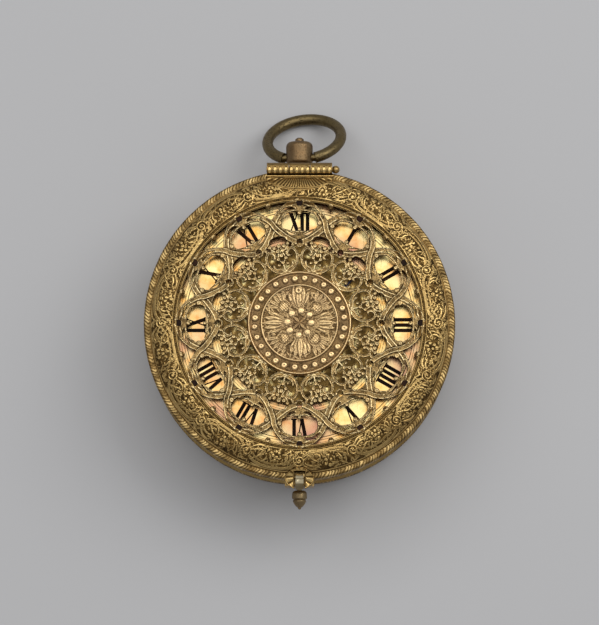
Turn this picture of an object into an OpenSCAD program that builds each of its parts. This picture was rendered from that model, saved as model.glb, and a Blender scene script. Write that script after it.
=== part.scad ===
// Clock watch: a spring-driven watch that strikes the hours on a bell in its case.
// A drum case with a pierced, hinged cover on each side; the movement hangs under the dial.
// Frame: +Z out of the dial, +Y towards XII and the pendant, +X towards III.
// The origin is the middle of the back, in the plane that the watch lies on.

/* [Case] */
// Outside diameter over the roped rims
case_d = 77.8; // [77:0.2:86]
// Height of the back cover, up to its joint with the band
back_h = 5.5; // [5.5:0.1:7]
// Height of the band between the two covers
band_h = 19.5; // [19.5:0.5:26]
// Thickness of the band's wall
band_t = 1.2; // [0.9:0.1:1.4]
// How far the band's end mouldings stand out of its wall
moulding_w = 0.7; // [0.5:0.05:0.9]
// Height of each moulding and of each roped rim
rim_h = 2; // [1.8:0.1:2.4]
// Inward width of the ledge that carries the dial plate
ledge_w = 2.6; // [2.4:0.1:3]
// Number of pierced panels round the band
panel_count = 14; // [12:1:16]

/* [Covers] */
// Rise of the front cover's shoulder above the joint
cover_rise = 5.6; // [5.2:0.1:7]
// Width of the convex shoulder of each cover
shoulder_w = 5; // [4.4:0.2:5.6]
// Thickness of the cover shells
shell_t = 1; // [0.8:0.1:1.2]
// Thickness of the pierced plates
grille_t = 1.1; // [0.9:0.1:1.3]
// Height of the raised strands on the front grille
strand_h = 0.5; // [0.3:0.1:0.7]
// Width of the interlaced strands
strand_w = 1.15; // [1:0.05:1.4]
// Gap between the lip of the shoulder and the strands' outermost middle line
strand_margin = 1.2; // [0.8:0.1:1.6]
// Swing of the strands to each side of their middle radius
strand_swing = 4; // [3.7:0.1:4.2]
// Outer radius of the medallion
medal_r = 12.7; // [12:0.1:13.2]
// Height of the medallion's rings above the grille plate
medal_h = 1.3; // [1:0.1:1.6]
// Number of beads in the medallion's channel
bead_count = 28; // [20:2:28]

/* [Hinges] */
// Width of the front hinge over its three knuckles
front_hinge_w = 16.4; // [14:0.2:18]
// Radius of the front hinge's knuckles
front_knuckle_r = 1.7; // [1.5:0.05:1.8]
// Width of the back hinge over its three knuckles
back_hinge_w = 12; // [10:0.2:14]
// Radius of the back hinge's knuckles
back_knuckle_r = 1.5; // [1.4:0.05:1.6]
// Radius of the hinge pins
hinge_pin_r = 0.6; // [0.5:0.05:0.7]
// Radius of the ball on each hinge pin's end
pin_ball_r = 1; // [0.8:0.05:1.1]

/* [Pendant] */
// Radius of the barrel-shaped pendant
pendant_r = 3.4; // [3.2:0.1:3.6]
// Length of the pendant along its stud
pendant_l = 5.9; // [5.5:0.1:6.5]
// Radius of the stud that the pendant turns on
stud_r = 1.05; // [0.9:0.05:1.15]
// Length of the stud's neck between the collar and the pendant
neck_l = 2.25; // [2.2:0.05:3]
// Radius of the ring's wire
ring_wire_r = 1.4; // [1.2:0.05:1.6]
// Radius of the ring's centreline
ring_r = 9.5; // [9.3:0.1:11]
// Radius of the ring's pivots in the pendant
ring_pivot_r = 0.95; // [0.7:0.05:0.95]
// Turn of the pendant on its stud, as the ring lies
pendant_turn = 11; // [0:1:20]
// Droop of the ring below the level of its pivots
ring_droop = 48.4; // [40:0.2:48.4]

/* [Catch] */
// Width of the catch's housing on the band
catch_w = 7.3; // [6.8:0.1:8]
// Width of the sliding hook
hook_w = 2; // [1.8:0.1:2.2]
// Thickness of the sliding hook
hook_t = 0.9; // [0.8:0.05:1]
// Inward travel of the hook
catch_travel = 0.8; // [0.6:0.05:0.8]
// Largest radius of the acorn-shaped push piece
acorn_r = 1.85; // [1.6:0.05:2]

/* [Dial and hand] */
// Thickness of the dial plate
dial_t = 1; // [0.8:0.1:1.2]
// Thickness of the hour hand
hand_t = 0.6; // [0.5:0.05:0.8]
// Length of the hand from its centre to its point
hand_l = 21.6; // [20:0.2:23]
// Length of the hand's tail
tail_l = 15.8; // [14:0.2:16]
// Direction of the hand, clockwise from XII in degrees
hand_at = 49.5; // [0:0.5:360]

/* [Movement] */
// Thickness of the movement's plates
plate_t = 1.1; // [1:0.05:1.2]
// Gap between the back joint and the top plate
plate_rise = 4.9; // [4.9:0.1:5.4]
// Gap between the dial plate and the pillar plate
under_dial = 2.8; // [2.8:0.1:3.2]
// Radius of the top plate
top_plate_r = 33; // [32:0.2:33.4]
// Radius of the circle of pillars
pillar_at = 29.5; // [29.2:0.1:30]
// Radius of the pillars' shafts
pillar_r = 1.2; // [1:0.05:1.4]
// Outside radius of the two spring barrels
barrel_r = 8; // [7.6:0.1:8]
// Height of the spring barrels
barrel_h = 3.9; // [3.5:0.1:3.9]
// Wall of the spring barrels
barrel_wall = 0.6; // [0.5:0.05:0.7]
// Turns of each coiled mainspring
spring_turns = 7; // [5:1:8]
// Radius of the winding arbors inside the barrels' pipes
wind_r = 1; // [0.9:0.05:1]
// Radius of the barrels' pipes
pipe_r = 1.7; // [1.6:0.05:1.8]
// Radius of the steel arbors
arbor_r = 0.5; // [0.4:0.05:0.6]
// Radius of the pivots that turn in the plates
pivot_r = 0.3; // [0.2:0.02:0.34]
// Radius of the balance wheel
balance_r = 7.5; // [7:0.1:7.7]
// Radial clearance of a running fit
run_gap = 0.04; // [0.02:0.01:0.06]

/* [Wheels] */
// Module of the great wheels
great_m = 0.34; // [0.33:0.005:0.34]
// Module of the second wheels
second_m = 0.3; // [0.29:0.005:0.3]
// Module of the motion work and the count wheel
motion_m = 0.5; // [0.49:0.01:0.5]
// Thickness of the wheels
wheel_t = 0.8; // [0.6:0.05:0.9]

/* [Bell] */
// Outside radius of the bell's lip
bell_r = 29.6; // [29:0.1:30]
// Thickness of the bell
bell_t = 0.8; // [0.6:0.05:0.9]
// Height of the bell
bell_h = 5.8; // [5.4:0.1:5.8]

/* [Hidden] */
$fn = 48;

// Heights of the joints, the dial and the plates
case_r = case_d / 2;
band_or = case_r - moulding_w;
band_ir = band_or - band_t;
back_z = back_h;
front_z = back_h + band_h;
dial_gap = 0.1;
dial_top = front_z - dial_gap;
dial_z = dial_top - dial_t;
dial_r = band_ir - 0.8;
ledge_h = 1.2;
ledge_r = band_ir - ledge_w;
pillar_z = dial_z - under_dial;
pillar_plate_r = ledge_r - 0.2;
foot_post_r = 0.9;
foot_r = ledge_r - foot_post_r - 1.9;
hour_pipe_r = 1.8;
top_z = back_z + plate_rise;
in_z = top_z + plate_t;
low_z = pillar_z - plate_t;
pendant_z = (back_z + front_z) / 2 - 0.25;

// Radii of the covers
inner_rim_r = band_ir - 0.4;
shoulder_or = case_r - 1.7;
shoulder_ir = shoulder_or - shoulder_w;
lip_r = shoulder_ir - 1.6;
grille_r = lip_r + 0.95;
lip_t = 0.7;
cover_top = front_z + cover_rise;
grille_top = cover_top - lip_t;
grille_z = grille_top - grille_t;
strand_r = lip_r - strand_margin - strand_swing;

// Hinge axes: above the front joint and below the back joint, at XII
front_axis = [case_r + 0.2, front_z + 2];
back_axis = [case_r + 0.4, back_z - 0.5];
knuckle_gap = 0.1;

// Stud, pendant and ring
boss_r = 3.2;
boss_y = case_r + 0.1;
collar_t = 0.8;
pendant_y = boss_y + collar_t + neck_l;
ring_y = pendant_y + 1.8;
pivot_in = stud_r + 0.55;
pivot_out = pendant_r + 0.62;

// Catch on the band at VI
catch_z = 20;
catch_y0 = band_ir + 0.9;
hook_y0 = catch_y0 + 0.2 + catch_travel;
catch_y1 = hook_y0 + hook_t + 0.6;
hook_gap = 0.05;
hook_bottom = catch_z - 2.4;
hook_top = front_z + 2.4;

// Places of the arbors, worked out from the teeth that mesh
great_n = 60; second_leaves = 10; second_n = 48; third_leaves = 8;
motion_leaves = 12; motion_n = 36;
contrate_n = 40; contrate_r = 5.8; escape_leaves = 6; crown_n = 15; crown_r = 3.3;
warn_n = 36; warn_m = 0.28; fly_leaves = 6;
great_d = great_m * (great_n + second_leaves) / 2;
second_d = second_m * (second_n + third_leaves) / 2;
motion_d = motion_m * (motion_leaves + motion_n) / 2;
fly_d = warn_m * (warn_n + fly_leaves) / 2;
a_g12 = -114.8; a_g23 = -25; a_esc = -20;
a_s12 = -60; a_s23 = -145.1; a_s34 = -79.9;
function pol(r, a) = [r * cos(a), r * sin(a)];
g1 = [-motion_d, 0];
g2 = g1 + pol(great_d, a_g12);
g3 = g2 + pol(second_d, a_g23);
verge_at = 11.9;
v1 = g3 + pol(verge_at, a_esc);
s1 = [motion_d, 0];
s2 = s1 + pol(great_d, a_s12);
s3 = s2 + pol(second_d, a_s23);
s4 = s3 + pol(fly_d, a_s34);
h1 = s1 + [11.5, -3];
d1 = pol(13, 60);
foot_a = 195;
foot_d = 10.2;
c1 = v1 + pol(foot_d, foot_a);

// Levels inside the movement, counted from the inner face of the top plate
second_z = in_z + 0.6;
barrel_z = in_z + 2.6;
great_z = barrel_z + barrel_h;
escape_z = in_z + 3.6;
contrate_z = escape_z + 1.6;
warn_z = in_z + 3;
balance_z = top_z - 2.4;
cock_z = balance_z - 1.4;
count_z = top_z - 1.5;
square_end = back_z + 1;
hammer_z = back_z + 1.3;
pin_ring_r = 5.4;

// The bell and its stud on the pierced back
bell_z = lip_t + grille_t + 0.8;
stud_hole = 1.02;

// A spur wheel or pinion in outline, with its first tooth at the angle ph
module teeth(n, m, ph = 0) {
  p = 360 / n;
  root = m * (n / 2 - 1.05);
  tip = m * (n / 2 + 0.75);
  polygon([for (i = [0:n - 1]) each [
    pol(root, ph + (i - 0.25) * p), pol(tip, ph + (i - 0.1) * p),
    pol(tip, ph + (i + 0.1) * p), pol(root, ph + (i + 0.25) * p)]]);
}

// A crossed-out wheel: rim with teeth, spokes and hub, with a hole of radius bore
module wheel(n, m, t, ph, hub = 1.6, arms = 4, rim = 1.1, bore = 0) {
  linear_extrude(t) difference() {
    teeth(n, m, ph);
    difference() {
      circle(m * (n / 2 - 1.05) - rim);
      circle(hub);
      for (i = [0:arms - 1]) rotate(ph + i * 360 / arms) translate([0, -0.45]) square([m * n / 2, 0.9]);
    }
    if (bore > 0) circle(bore);
  }
}

module pinion(n, m, t, ph, bore = 0) {
  linear_extrude(t) difference() {
    teeth(n, m, ph);
    if (bore > 0) circle(bore);
  }
}

// An arbor from plate to plate, its pivots running in both
module arbor(r = arbor_r) {
  translate([0, 0, in_z + 0.1]) cylinder(r = r, h = low_z - in_z - 0.2);
  translate([0, 0, top_z + 0.1]) cylinder(r = pivot_r, h = pillar_z - top_z - 0.2);
}

// Two rings of a revolved body about a hinge's axis, along X from x0 to x1
module knuckle(axis, r, x0, x1, bore) {
  translate([x0, axis[0], axis[1]]) rotate([0, 90, 0]) difference() {
    cylinder(r = r, h = x1 - x0);
    translate([0, 0, -1]) cylinder(r = bore, h = x1 - x0 + 2);
  }
}

// Points of a quarter ellipse, from the angle 0 to 90
function quarter(cx, cz, rx, rz, n = 10) = [for (i = [0:n]) [cx + rx * cos(90 * i / n), cz + rz * sin(90 * i / n)]];

module case_band() color("darkgoldenrod") {
  third = front_hinge_w / 6;
  back_third = back_hinge_w / 6;
  difference() {
    union() {
      rotate_extrude() polygon([
        [band_ir, back_z], [case_r, back_z], [case_r, back_z + rim_h], [band_or, back_z + rim_h + 0.5],
        [band_or, front_z - rim_h - 0.5], [case_r, front_z - rim_h], [case_r, front_z],
        [dial_r + 0.05, front_z], [dial_r + 0.05, dial_z], [ledge_r, dial_z], [ledge_r, dial_z - ledge_h],
        [band_ir, dial_z - ledge_h - 0.8]]);
      difference() {
        union() {
          translate([0, boss_y, pendant_z]) rotate([90, 0, 0]) cylinder(r = boss_r, h = boss_y - band_ir);
          translate([-front_hinge_w / 2, band_ir, front_z - 4])
            cube([front_hinge_w, front_axis[0] + front_knuckle_r - band_ir, front_axis[1] - front_z + 4]);
          translate([-back_hinge_w / 2, band_ir, back_axis[1]])
            cube([back_hinge_w, back_axis[0] + back_knuckle_r - band_ir, 4]);
          translate([-catch_w / 2, -catch_y1, catch_z - 3.4]) cube([catch_w, catch_y1 - band_ir, front_z - catch_z + 3.4]);
        }
        translate([0, 0, back_z - 5]) cylinder(r = band_ir + 0.3, h = band_h + 12);
        for (z = [0, front_z]) rotate_extrude() translate([0, z]) square([case_r + 0.05, back_z]);
        translate([-third, 0, front_z]) cube([2 * third, case_d, 4]);
        translate([-third, case_r, front_z - 5]) cube([2 * third, case_d, 9]);
        translate([-back_third, case_r, back_axis[1] - 1]) cube([2 * back_third, case_d, 9]);
      }
      for (s = [-1, 1]) {
        knuckle(front_axis, front_knuckle_r, s > 0 ? third : -3 * third, s > 0 ? 3 * third : -third, hinge_pin_r);
        knuckle(back_axis, back_knuckle_r, s > 0 ? back_third : -3 * back_third,
          s > 0 ? 3 * back_third : -back_third, hinge_pin_r);
      }
    }
    translate([0, back_axis[0], back_axis[1]]) rotate([0, 90, 0])
      cylinder(r = back_knuckle_r + knuckle_gap, h = 2 * back_third, center = true);
    // Bores for the stud, the pins and the dial's screws
    translate([0, band_ir - 1, pendant_z]) rotate([-90, 0, 0]) cylinder(r = stud_r, h = 10);
    translate([-front_hinge_w, front_axis[0], front_axis[1]]) rotate([0, 90, 0]) cylinder(r = hinge_pin_r, h = 3 * front_hinge_w);
    translate([-back_hinge_w, back_axis[0], back_axis[1]]) rotate([0, 90, 0]) cylinder(r = hinge_pin_r, h = 3 * back_hinge_w);
    // Room for the hook, its spring and the stem of the push piece
    translate([-hook_w / 2 - hook_gap, -catch_y1 + 0.55, hook_bottom - 0.1])
      cube([hook_w + 2 * hook_gap, catch_y1 - 0.55 - catch_y0, front_z]);
    translate([0, -band_or, catch_z]) rotate([90, 0, 0]) cylinder(r = 0.7, h = 5);
    for (i = [0:2]) rotate(90 + 120 * i) translate([dial_r - 0.95, 0, dial_z - ledge_h]) cylinder(r = 0.4, h = 4);
    // Pierced panels
    for (i = [0:panel_count - 1]) rotate((i + 0.5) * 360 / panel_count - 90) panel();
  }
}

// One pierced panel: two pairs of round lights on a pointed middle light
module panel() translate([band_ir - 1, 0, pendant_z]) rotate([0, 90, 0]) {
  for (s = [-1, 1]) {
    translate([0, s * 3.4, 0]) cylinder(r = 1.5, h = 4);
    translate([s * 3.6, 0, 0]) cylinder(r = 1.5, h = 4);
    for (t = [-1, 1]) translate([s * 4, t * 4.4, 0]) cylinder(r = 0.9, h = 4);
  }
  rotate(45) translate([-1.5, -1.5, 0]) cube([3, 3, 4]);
}

module hinge_pin(axis, w) {
  translate([-w / 2 - 0.1, axis[0], axis[1]]) rotate([0, 90, 0]) cylinder(r = hinge_pin_r, h = w + 0.6);
  translate([w / 2 + 0.1 + pin_ball_r * 0.8, axis[0], axis[1]]) sphere(pin_ball_r);
}

module front_hinge_pin() color("goldenrod") hinge_pin(front_axis, front_hinge_w);
module back_hinge_pin() color("goldenrod") hinge_pin(back_axis, back_hinge_w);

module pendant_stud() color("peru") translate([0, 0, pendant_z]) rotate([-90, 0, 0]) rotate_extrude() polygon([
  [0, band_ir - 0.6], [1.7, band_ir - 0.6], [1.7, band_ir - 0.1], [stud_r, band_ir - 0.1], [stud_r, boss_y],
  [2.4, boss_y], [2.2, boss_y + collar_t], [stud_r, boss_y + collar_t + 0.2],
  [stud_r, pendant_y + pendant_l + 0.05], [1.15, pendant_y + pendant_l + 0.06],
  [1.05, pendant_y + pendant_l + 0.7], [0.6, pendant_y + pendant_l + 1.05], [0, pendant_y + pendant_l + 1.1]]);

module pendant_knob() color("peru") difference() {
  translate([0, pendant_y, pendant_z]) rotate([-90, 0, 0]) rotate_extrude() polygon(concat(
    [[stud_r + run_gap, 0], [2, 0]],
    [for (i = [0:6]) [pendant_r - 1.1 + 1.1 * sin(15 * i), 1.1 - 1.1 * cos(15 * i)]],
    [for (i = [0:6]) [pendant_r - 1.3 + 1.3 * cos(15 * i), pendant_l - 1.3 + 1.3 * sin(15 * i)]],
    [[stud_r + run_gap, pendant_l]]));
  translate([0, ring_y, pendant_z]) rotate([0, -pendant_turn, 0]) for (s = [-1, 1])
    rotate([0, s * 90, 0]) translate([0, 0, pivot_in - 0.05]) cylinder(r = ring_pivot_r + run_gap, h = 5);
}

// The loose ring: an open round of wire whose ends turn in as pivots
module pendant_ring() color("peru") translate([0, ring_y, pendant_z]) rotate([0, -pendant_turn, 0]) {
  $fn = 96;
  drop = sqrt(ring_r * ring_r - pivot_out * pivot_out);
  half_open = asin(pivot_out / ring_r);
  rotate([-ring_droop, 0, 0]) translate([0, drop, 0]) rotate(-90 + half_open)
    rotate_extrude(angle = 360 - 2 * half_open) translate([ring_r, 0]) circle(ring_wire_r);
  for (s = [-1, 1]) rotate([0, s * 90, 0]) translate([0, 0, pivot_in])
    cylinder(r = ring_pivot_r, h = pivot_out + 0.5 - pivot_in);
}

module catch_hook() color("slategray") difference() {
  union() {
    translate([-hook_w / 2, -hook_y0 - hook_t, hook_bottom]) cube([hook_w, hook_t, hook_top - hook_bottom]);
    translate([-hook_w / 2, -hook_y0 - hook_t - 0.35, hook_top - 0.9]) cube([hook_w, 0.36, 0.9]);
  }
  translate([0, -hook_y0 + 1, catch_z]) rotate([90, 0, 0]) cylinder(r = 0.45, h = 4);
}

// The push piece: a stem, a drum and a pointed cap, like an acorn lying on its side
module catch_finial() color("goldenrod") translate([0, -hook_y0, catch_z]) rotate([90, 0, 0]) rotate_extrude() polygon([
  [0, 0], [0.45, 0], [0.45, hook_t], [0.65, hook_t], [0.65, catch_y1 - hook_y0 + 0.85], [1.1, catch_y1 - hook_y0 + 0.9],
  [1.3, catch_y1 - hook_y0 + 1.2], [acorn_r, catch_y1 - hook_y0 + 1.5], [acorn_r, catch_y1 - hook_y0 + 2.3],
  [1.5, catch_y1 - hook_y0 + 2.7], [1.3, catch_y1 - hook_y0 + 3.4], [0.7, catch_y1 - hook_y0 + 4.3],
  [0, catch_y1 - hook_y0 + 4.9]]);

// The leaf that pushes the hook outwards, lying on the wall behind it
module catch_spring() color("steelblue")
  translate([-hook_w / 2 + 0.2, -catch_y0 - 0.2, hook_bottom]) cube([hook_w - 0.4, 0.15, front_z - hook_bottom - 1.2]);

module cover_shell() color("darkgoldenrod") {
  third = front_hinge_w / 6;
  difference() {
    union() {
      rotate_extrude() polygon(concat(
        [[inner_rim_r, front_z], [case_r, front_z], [case_r, front_z + rim_h], [case_r - 0.9, front_z + rim_h + 0.3]],
        quarter(shoulder_ir, front_z + rim_h + 0.4, shoulder_w, cover_rise - rim_h - 0.4),
        [[lip_r, cover_top], [lip_r, grille_top], [grille_r + 0.05, grille_top], [grille_r + 0.05, grille_top - 0.5]],
        [for (i = [8:-1:0]) [shoulder_ir + (shoulder_w - shell_t) * cos(10 * i),
          front_z + rim_h + 0.2 + (cover_rise - rim_h - shell_t - 0.2) * sin(10 * i)]],
        [[inner_rim_r, front_z + rim_h]]));
      // The plate in front of the hinge and its middle knuckle
      difference() {
        translate([-front_hinge_w / 2, case_r - 4.6, front_z + 1]) cube([front_hinge_w, 3.6, 2.7]);
        cylinder(r = inner_rim_r, h = front_z + rim_h + 0.3);
        translate([0, 0, front_z]) rotate_extrude() polygon(concat([[0, 0], [inner_rim_r, 0]],
          quarter(shoulder_ir, rim_h + 0.2, shoulder_w - 0.6, cover_rise - rim_h - 0.8), [[0, cover_rise]]));
      }
      translate([-third + knuckle_gap, case_r - 2.4, front_z + 2 - front_knuckle_r]) cube([2 * (third - knuckle_gap), 2.6, 2 * front_knuckle_r]);
      knuckle(front_axis, front_knuckle_r, -third + knuckle_gap, third - knuckle_gap, hinge_pin_r);
      // The lug over the catch
      translate([0, 0, front_z]) linear_extrude(rim_h) intersection() {
        translate([-catch_w / 2, -catch_y1]) square([catch_w, catch_y1 - inner_rim_r + 0.4]);
        translate([0, -catch_y1 + catch_w * 0.55]) circle(catch_w * 0.56);
      }
    }
    translate([-front_hinge_w, front_axis[0], front_axis[1]]) rotate([0, 90, 0]) cylinder(r = hinge_pin_r + run_gap, h = 3 * front_hinge_w);
    for (s = [-1, 1]) {
      translate([s * 2 * third, front_axis[0], front_axis[1]]) rotate([0, 90, 0])
        cylinder(r = front_knuckle_r + 0.12, h = 2 * third + 0.6, center = true);
      translate([s > 0 ? third - knuckle_gap : -3 * third - 0.5, front_axis[0] - front_knuckle_r - 0.12, front_z - 1])
        cube([2 * third + knuckle_gap + 0.5, 6, 3]);
    }
    translate([-hook_w / 2 - 0.25, -hook_y0 - hook_t - 0.6, front_z - 1]) cube([hook_w + 0.5, hook_t + 0.65 + catch_travel, 4]);
  }
}

// Radius of a strand at the angle a from an hour: side 1 swings out at a = 0, side -1 swings in
function strand(a, side) = strand_r + strand_swing * side * sign(cos(6 * a)) * pow(abs(cos(6 * a)), 0.75);
strand_steps = 96;
function strand_loop(side, off) = [for (i = [0:strand_steps - 1])
  pol(strand(i * 360 / strand_steps, side) + off, 90 + i * 360 / strand_steps)];

module strands(w) for (side = [-1, 1]) difference() {
  polygon(strand_loop(side, w / 2));
  polygon(strand_loop(side, -w / 2));
}

// A ring of outer radius r and width w, kept between the angles a and b
module bow(r, w, a, b) difference() {
  intersection() {
    circle(r);
    polygon(concat([[0, 0]], [for (i = [0:4]) pol(2 * r, a + (b - a) * i / 4)]));
  }
  circle(r - w);
}

// A C-scroll on the medallion's edge that opens outwards, a volute with a dark eye on each end,
// and a flower in it: stem, leaves and berries
scroll_r = 4.1;
scroll_w = 0.66;
module scroll() {
  bow(scroll_r, scroll_w, 145, 395);
  for (s = [-1, 1]) {
    translate(pol(scroll_r - 1, 90 - 55 * s)) difference() {
      circle(1);
      circle(0.45);
    }
    translate([s * 1.3, -2.4]) bow(1.3, 0.45, 10, 170);
    translate([s * 1.2, 1.5]) bow(1.2, 0.45, 190, 350);
    translate([s * 1.9, 0.1]) circle(0.6);
    translate([s * 1.1, -0.4]) circle(0.6);
  }
  translate([-0.3, -scroll_r + 0.3]) square([0.6, scroll_r + 1.6]);
  translate([0, 1.9]) circle(0.75);
}

module grille_outline() {
  inner_boss = strand_r - strand_swing - 1.1;
  difference() {
    circle(grille_r);
    circle(lip_r - 0.35);
  }
  strands(strand_w);
  difference() {
    circle(medal_r + 0.3);
    circle(medal_r - 1.1);
  }
  for (i = [0:11]) {
    // On each hour: a bored boss at the rim, a small ring with a stem, and a cusped arch under the outer strand
    rotate(30 * i) {
      translate([0, lip_r - 0.4]) difference() {
        circle(1.3);
        circle(0.7);
      }
      translate([0, inner_boss]) difference() {
        circle(1.35);
        circle(0.7);
      }
      translate([-0.35, strand_r + 1.9]) square([0.7, strand_swing - 1.9]);
      translate([-0.25, medal_r]) square([0.5, inner_boss - medal_r - 1]);
      for (s = [-1, 1]) {
        translate([s * 1.9, strand_r - 1.8]) bow(4.45, 0.5, s > 0 ? 25 : 63, s > 0 ? 117 : 155);
        translate([s * 5.8, strand_r - 0.1]) circle(0.7);
        translate([s * 1.3, inner_boss - 0.8]) circle(0.6);
      }
    }
    // On each half hour: a C-scroll, a bud under the crossing of the strands and a bud on the rim
    rotate(30 * i + 15) {
      translate([0, medal_r + scroll_r + 0.1]) scroll();
      translate([0, strand_r - 2.4]) circle(0.7);
      translate([-0.3, strand_r - 2.4]) square([0.6, 2.4]);
      for (s = [-1, 1]) translate([s * 1.1, strand_r - 2]) circle(0.6);
      translate([0, lip_r - 0.4]) circle(0.75);
    }
  }
}

module cover_grille() color("goldenrod") {
  translate([0, 0, grille_z]) linear_extrude(grille_t) grille_outline();
  translate([0, 0, grille_top - 0.01]) linear_extrude(strand_h + 0.01) intersection() {
    strands(strand_w - 0.3);
    circle(lip_r - 0.1);
  }
}

module cover_medallion() color("palegoldenrod") translate([0, 0, grille_top]) {
  rotate_extrude() polygon([
    [0, 0], [0, -0.8], [medal_r - 1.15, -0.8], [medal_r - 1.15, 0], [medal_r, 0], [medal_r, medal_h - 0.3],
    [medal_r - 0.3, medal_h], [medal_r - 0.7, medal_h], [medal_r - 0.8, 0.6], [medal_r - 2.3, 0.6],
    [medal_r - 2.4, medal_h], [medal_r - 2.9, medal_h], [medal_r - 3.2, 0.6], [6, 0.8], [2, 0.9], [0, 0.9]]);
  for (i = [0:bead_count - 1]) rotate(i * 360 / bead_count) translate([medal_r - 1.55, 0, 0.6]) sphere(0.72);
  for (i = [0:7]) rotate(i * 45) translate([3, 0, 0.75]) sphere(0.8);
}

module back_shell() color("darkgoldenrod") {
  third = back_hinge_w / 6;
  difference() {
    union() {
      rotate_extrude() polygon(concat(
        [[inner_rim_r, back_z], [case_r, back_z], [case_r, back_z - rim_h], [case_r - 0.9, back_z - rim_h - 0.2]],
        [for (i = [0:10]) [shoulder_ir + shoulder_w * cos(9 * i), (back_z - rim_h - 0.3) * (1 - sin(9 * i))]],
        [[lip_r, 0], [lip_r, lip_t], [grille_r + 0.05, lip_t], [grille_r + 0.05, lip_t + 0.5]],
        [for (i = [8:-1:0]) [shoulder_ir + (shoulder_w - shell_t) * cos(10 * i),
          shell_t + (back_z - rim_h - shell_t) * (1 - sin(10 * i))]],
        [[inner_rim_r, back_z - rim_h]]));
      translate([-third + knuckle_gap, case_r - 2.2, back_axis[1] - back_knuckle_r])
        cube([2 * (third - knuckle_gap), 2.6, back_knuckle_r + 0.5]);
      knuckle(back_axis, back_knuckle_r, -third + knuckle_gap, third - knuckle_gap, hinge_pin_r);
    }
    translate([-back_hinge_w, back_axis[0], back_axis[1]]) rotate([0, 90, 0]) cylinder(r = hinge_pin_r + run_gap, h = 3 * back_hinge_w);
    for (s = [-1, 1]) {
      translate([s * 2 * third, back_axis[0], back_axis[1]]) rotate([0, 90, 0])
        cylinder(r = back_knuckle_r + 0.12, h = 2 * third + 0.6, center = true);
      translate([s > 0 ? third - knuckle_gap : -3 * third - 0.5, back_axis[0] - back_knuckle_r - 0.12, back_axis[1]])
        cube([2 * third + knuckle_gap + 0.5, 6, 3]);
    }
  }
}

// The pierced back: two rings, twelve arches and a boss in the middle that stands on the table
module back_grille() color("goldenrod") {
  translate([0, 0, lip_t]) linear_extrude(grille_t) difference() {
    circle(grille_r);
    for (i = [0:11]) rotate(30 * i) {
      translate([0, 24.4]) circle(3.6);
      translate([0, 27.6]) circle(1.6);
      translate([0, 16.9]) circle(2.3);
      translate([0, 12.6]) circle(1.2);
      rotate(15) {
        translate([0, 20.3]) circle(2);
        translate([0, 28.2]) circle(1.4);
      }
    }
  }
  difference() {
    cylinder(r = 8, h = lip_t + 0.01);
    translate([0, 0, -1]) rotate_extrude() translate([5.4, 0]) square([0.8, 1.3]);
  }
}

module bell() color("silver") translate([0, 0, bell_z]) {
  flat = bell_r - 7.6;
  rotate_extrude() polygon(concat(
    [[stud_hole, 0]], [for (i = [0:10]) [flat + 7.6 * sin(9 * i), bell_h * (1 - cos(9 * i))]],
    [for (i = [10:-1:0]) [flat + (7.6 - bell_t) * sin(9 * i), bell_h - (bell_h - bell_t) * cos(9 * i)]],
    [[stud_hole, bell_t]]));
}

module bell_stud() color("steelblue") translate([0, 0, lip_t + grille_t]) {
  cylinder(r = 2.4, h = bell_z - lip_t - grille_t);
  cylinder(r = 1, h = bell_z - lip_t - grille_t + bell_t + 1.4);
}

module bell_nut() color("slategray") translate([0, 0, bell_z + bell_t]) difference() {
  cylinder(r = 2, h = 1.2, $fn = 6);
  translate([0, 0, -1]) cylinder(r = 1.02, h = 4);
}

module dial_plate() color("gold") difference() {
  translate([0, 0, dial_z]) cylinder(r = dial_r, h = dial_t);
  translate([0, 0, dial_z - 1]) cylinder(r = hour_pipe_r + 0.15, h = dial_t + 2);
  for (i = [0:2]) {
    rotate(90 + 120 * i) translate([dial_r - 0.95, 0, dial_z - 1]) cylinder(r = 0.42, h = dial_t + 2);
    rotate(30 + 120 * i) translate([foot_r, 0, dial_z - 1]) cylinder(r = 0.5, h = dial_t + 0.6);
  }
}

module dial_feet() color("goldenrod") for (i = [0:2]) rotate(30 + 120 * i) translate([foot_r, 0, 0]) {
  translate([0, 0, pillar_z]) cylinder(r = foot_post_r, h = under_dial);
  translate([0, 0, low_z - 0.4]) cylinder(r = 0.5, h = plate_t + 1 + under_dial);
}

module dial_screws() color("steelblue") for (i = [0:2]) rotate(90 + 120 * i) translate([dial_r - 0.95, 0, 0]) difference() {
  union() {
    translate([0, 0, dial_z - ledge_h + 0.1]) cylinder(r = 0.4, h = dial_t + ledge_h);
    translate([0, 0, dial_top]) cylinder(r = 0.75, h = 0.35);
  }
  translate([-1, -0.1, dial_top + 0.2]) cube([2, 0.2, 1]);
}

// The single hand: a collet, a leaf-shaped blade with a long point, and a tail
module hour_hand() color("midnightblue") translate([0, 0, front_z + 0.3]) rotate(-hand_at) linear_extrude(hand_t) difference() {
  union() {
    circle(2.7);
    polygon([[1.1, 0], [0.7, 6], [1.4, 8.4], [1, 10.6], [0.45, 12], [0, hand_l],
      [-0.45, 12], [-1, 10.6], [-1.4, 8.4], [-0.7, 6], [-1.1, 0]]);
    polygon([[-0.9, 0], [-0.55, -8], [0.55, -8], [0.9, 0]]);
    translate([0, -9.2]) circle(1.4);
    polygon([[-0.6, -10], [0, -tail_l], [0.6, -10]]);
  }
  circle(hour_pipe_r + 0.01);
}

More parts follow.
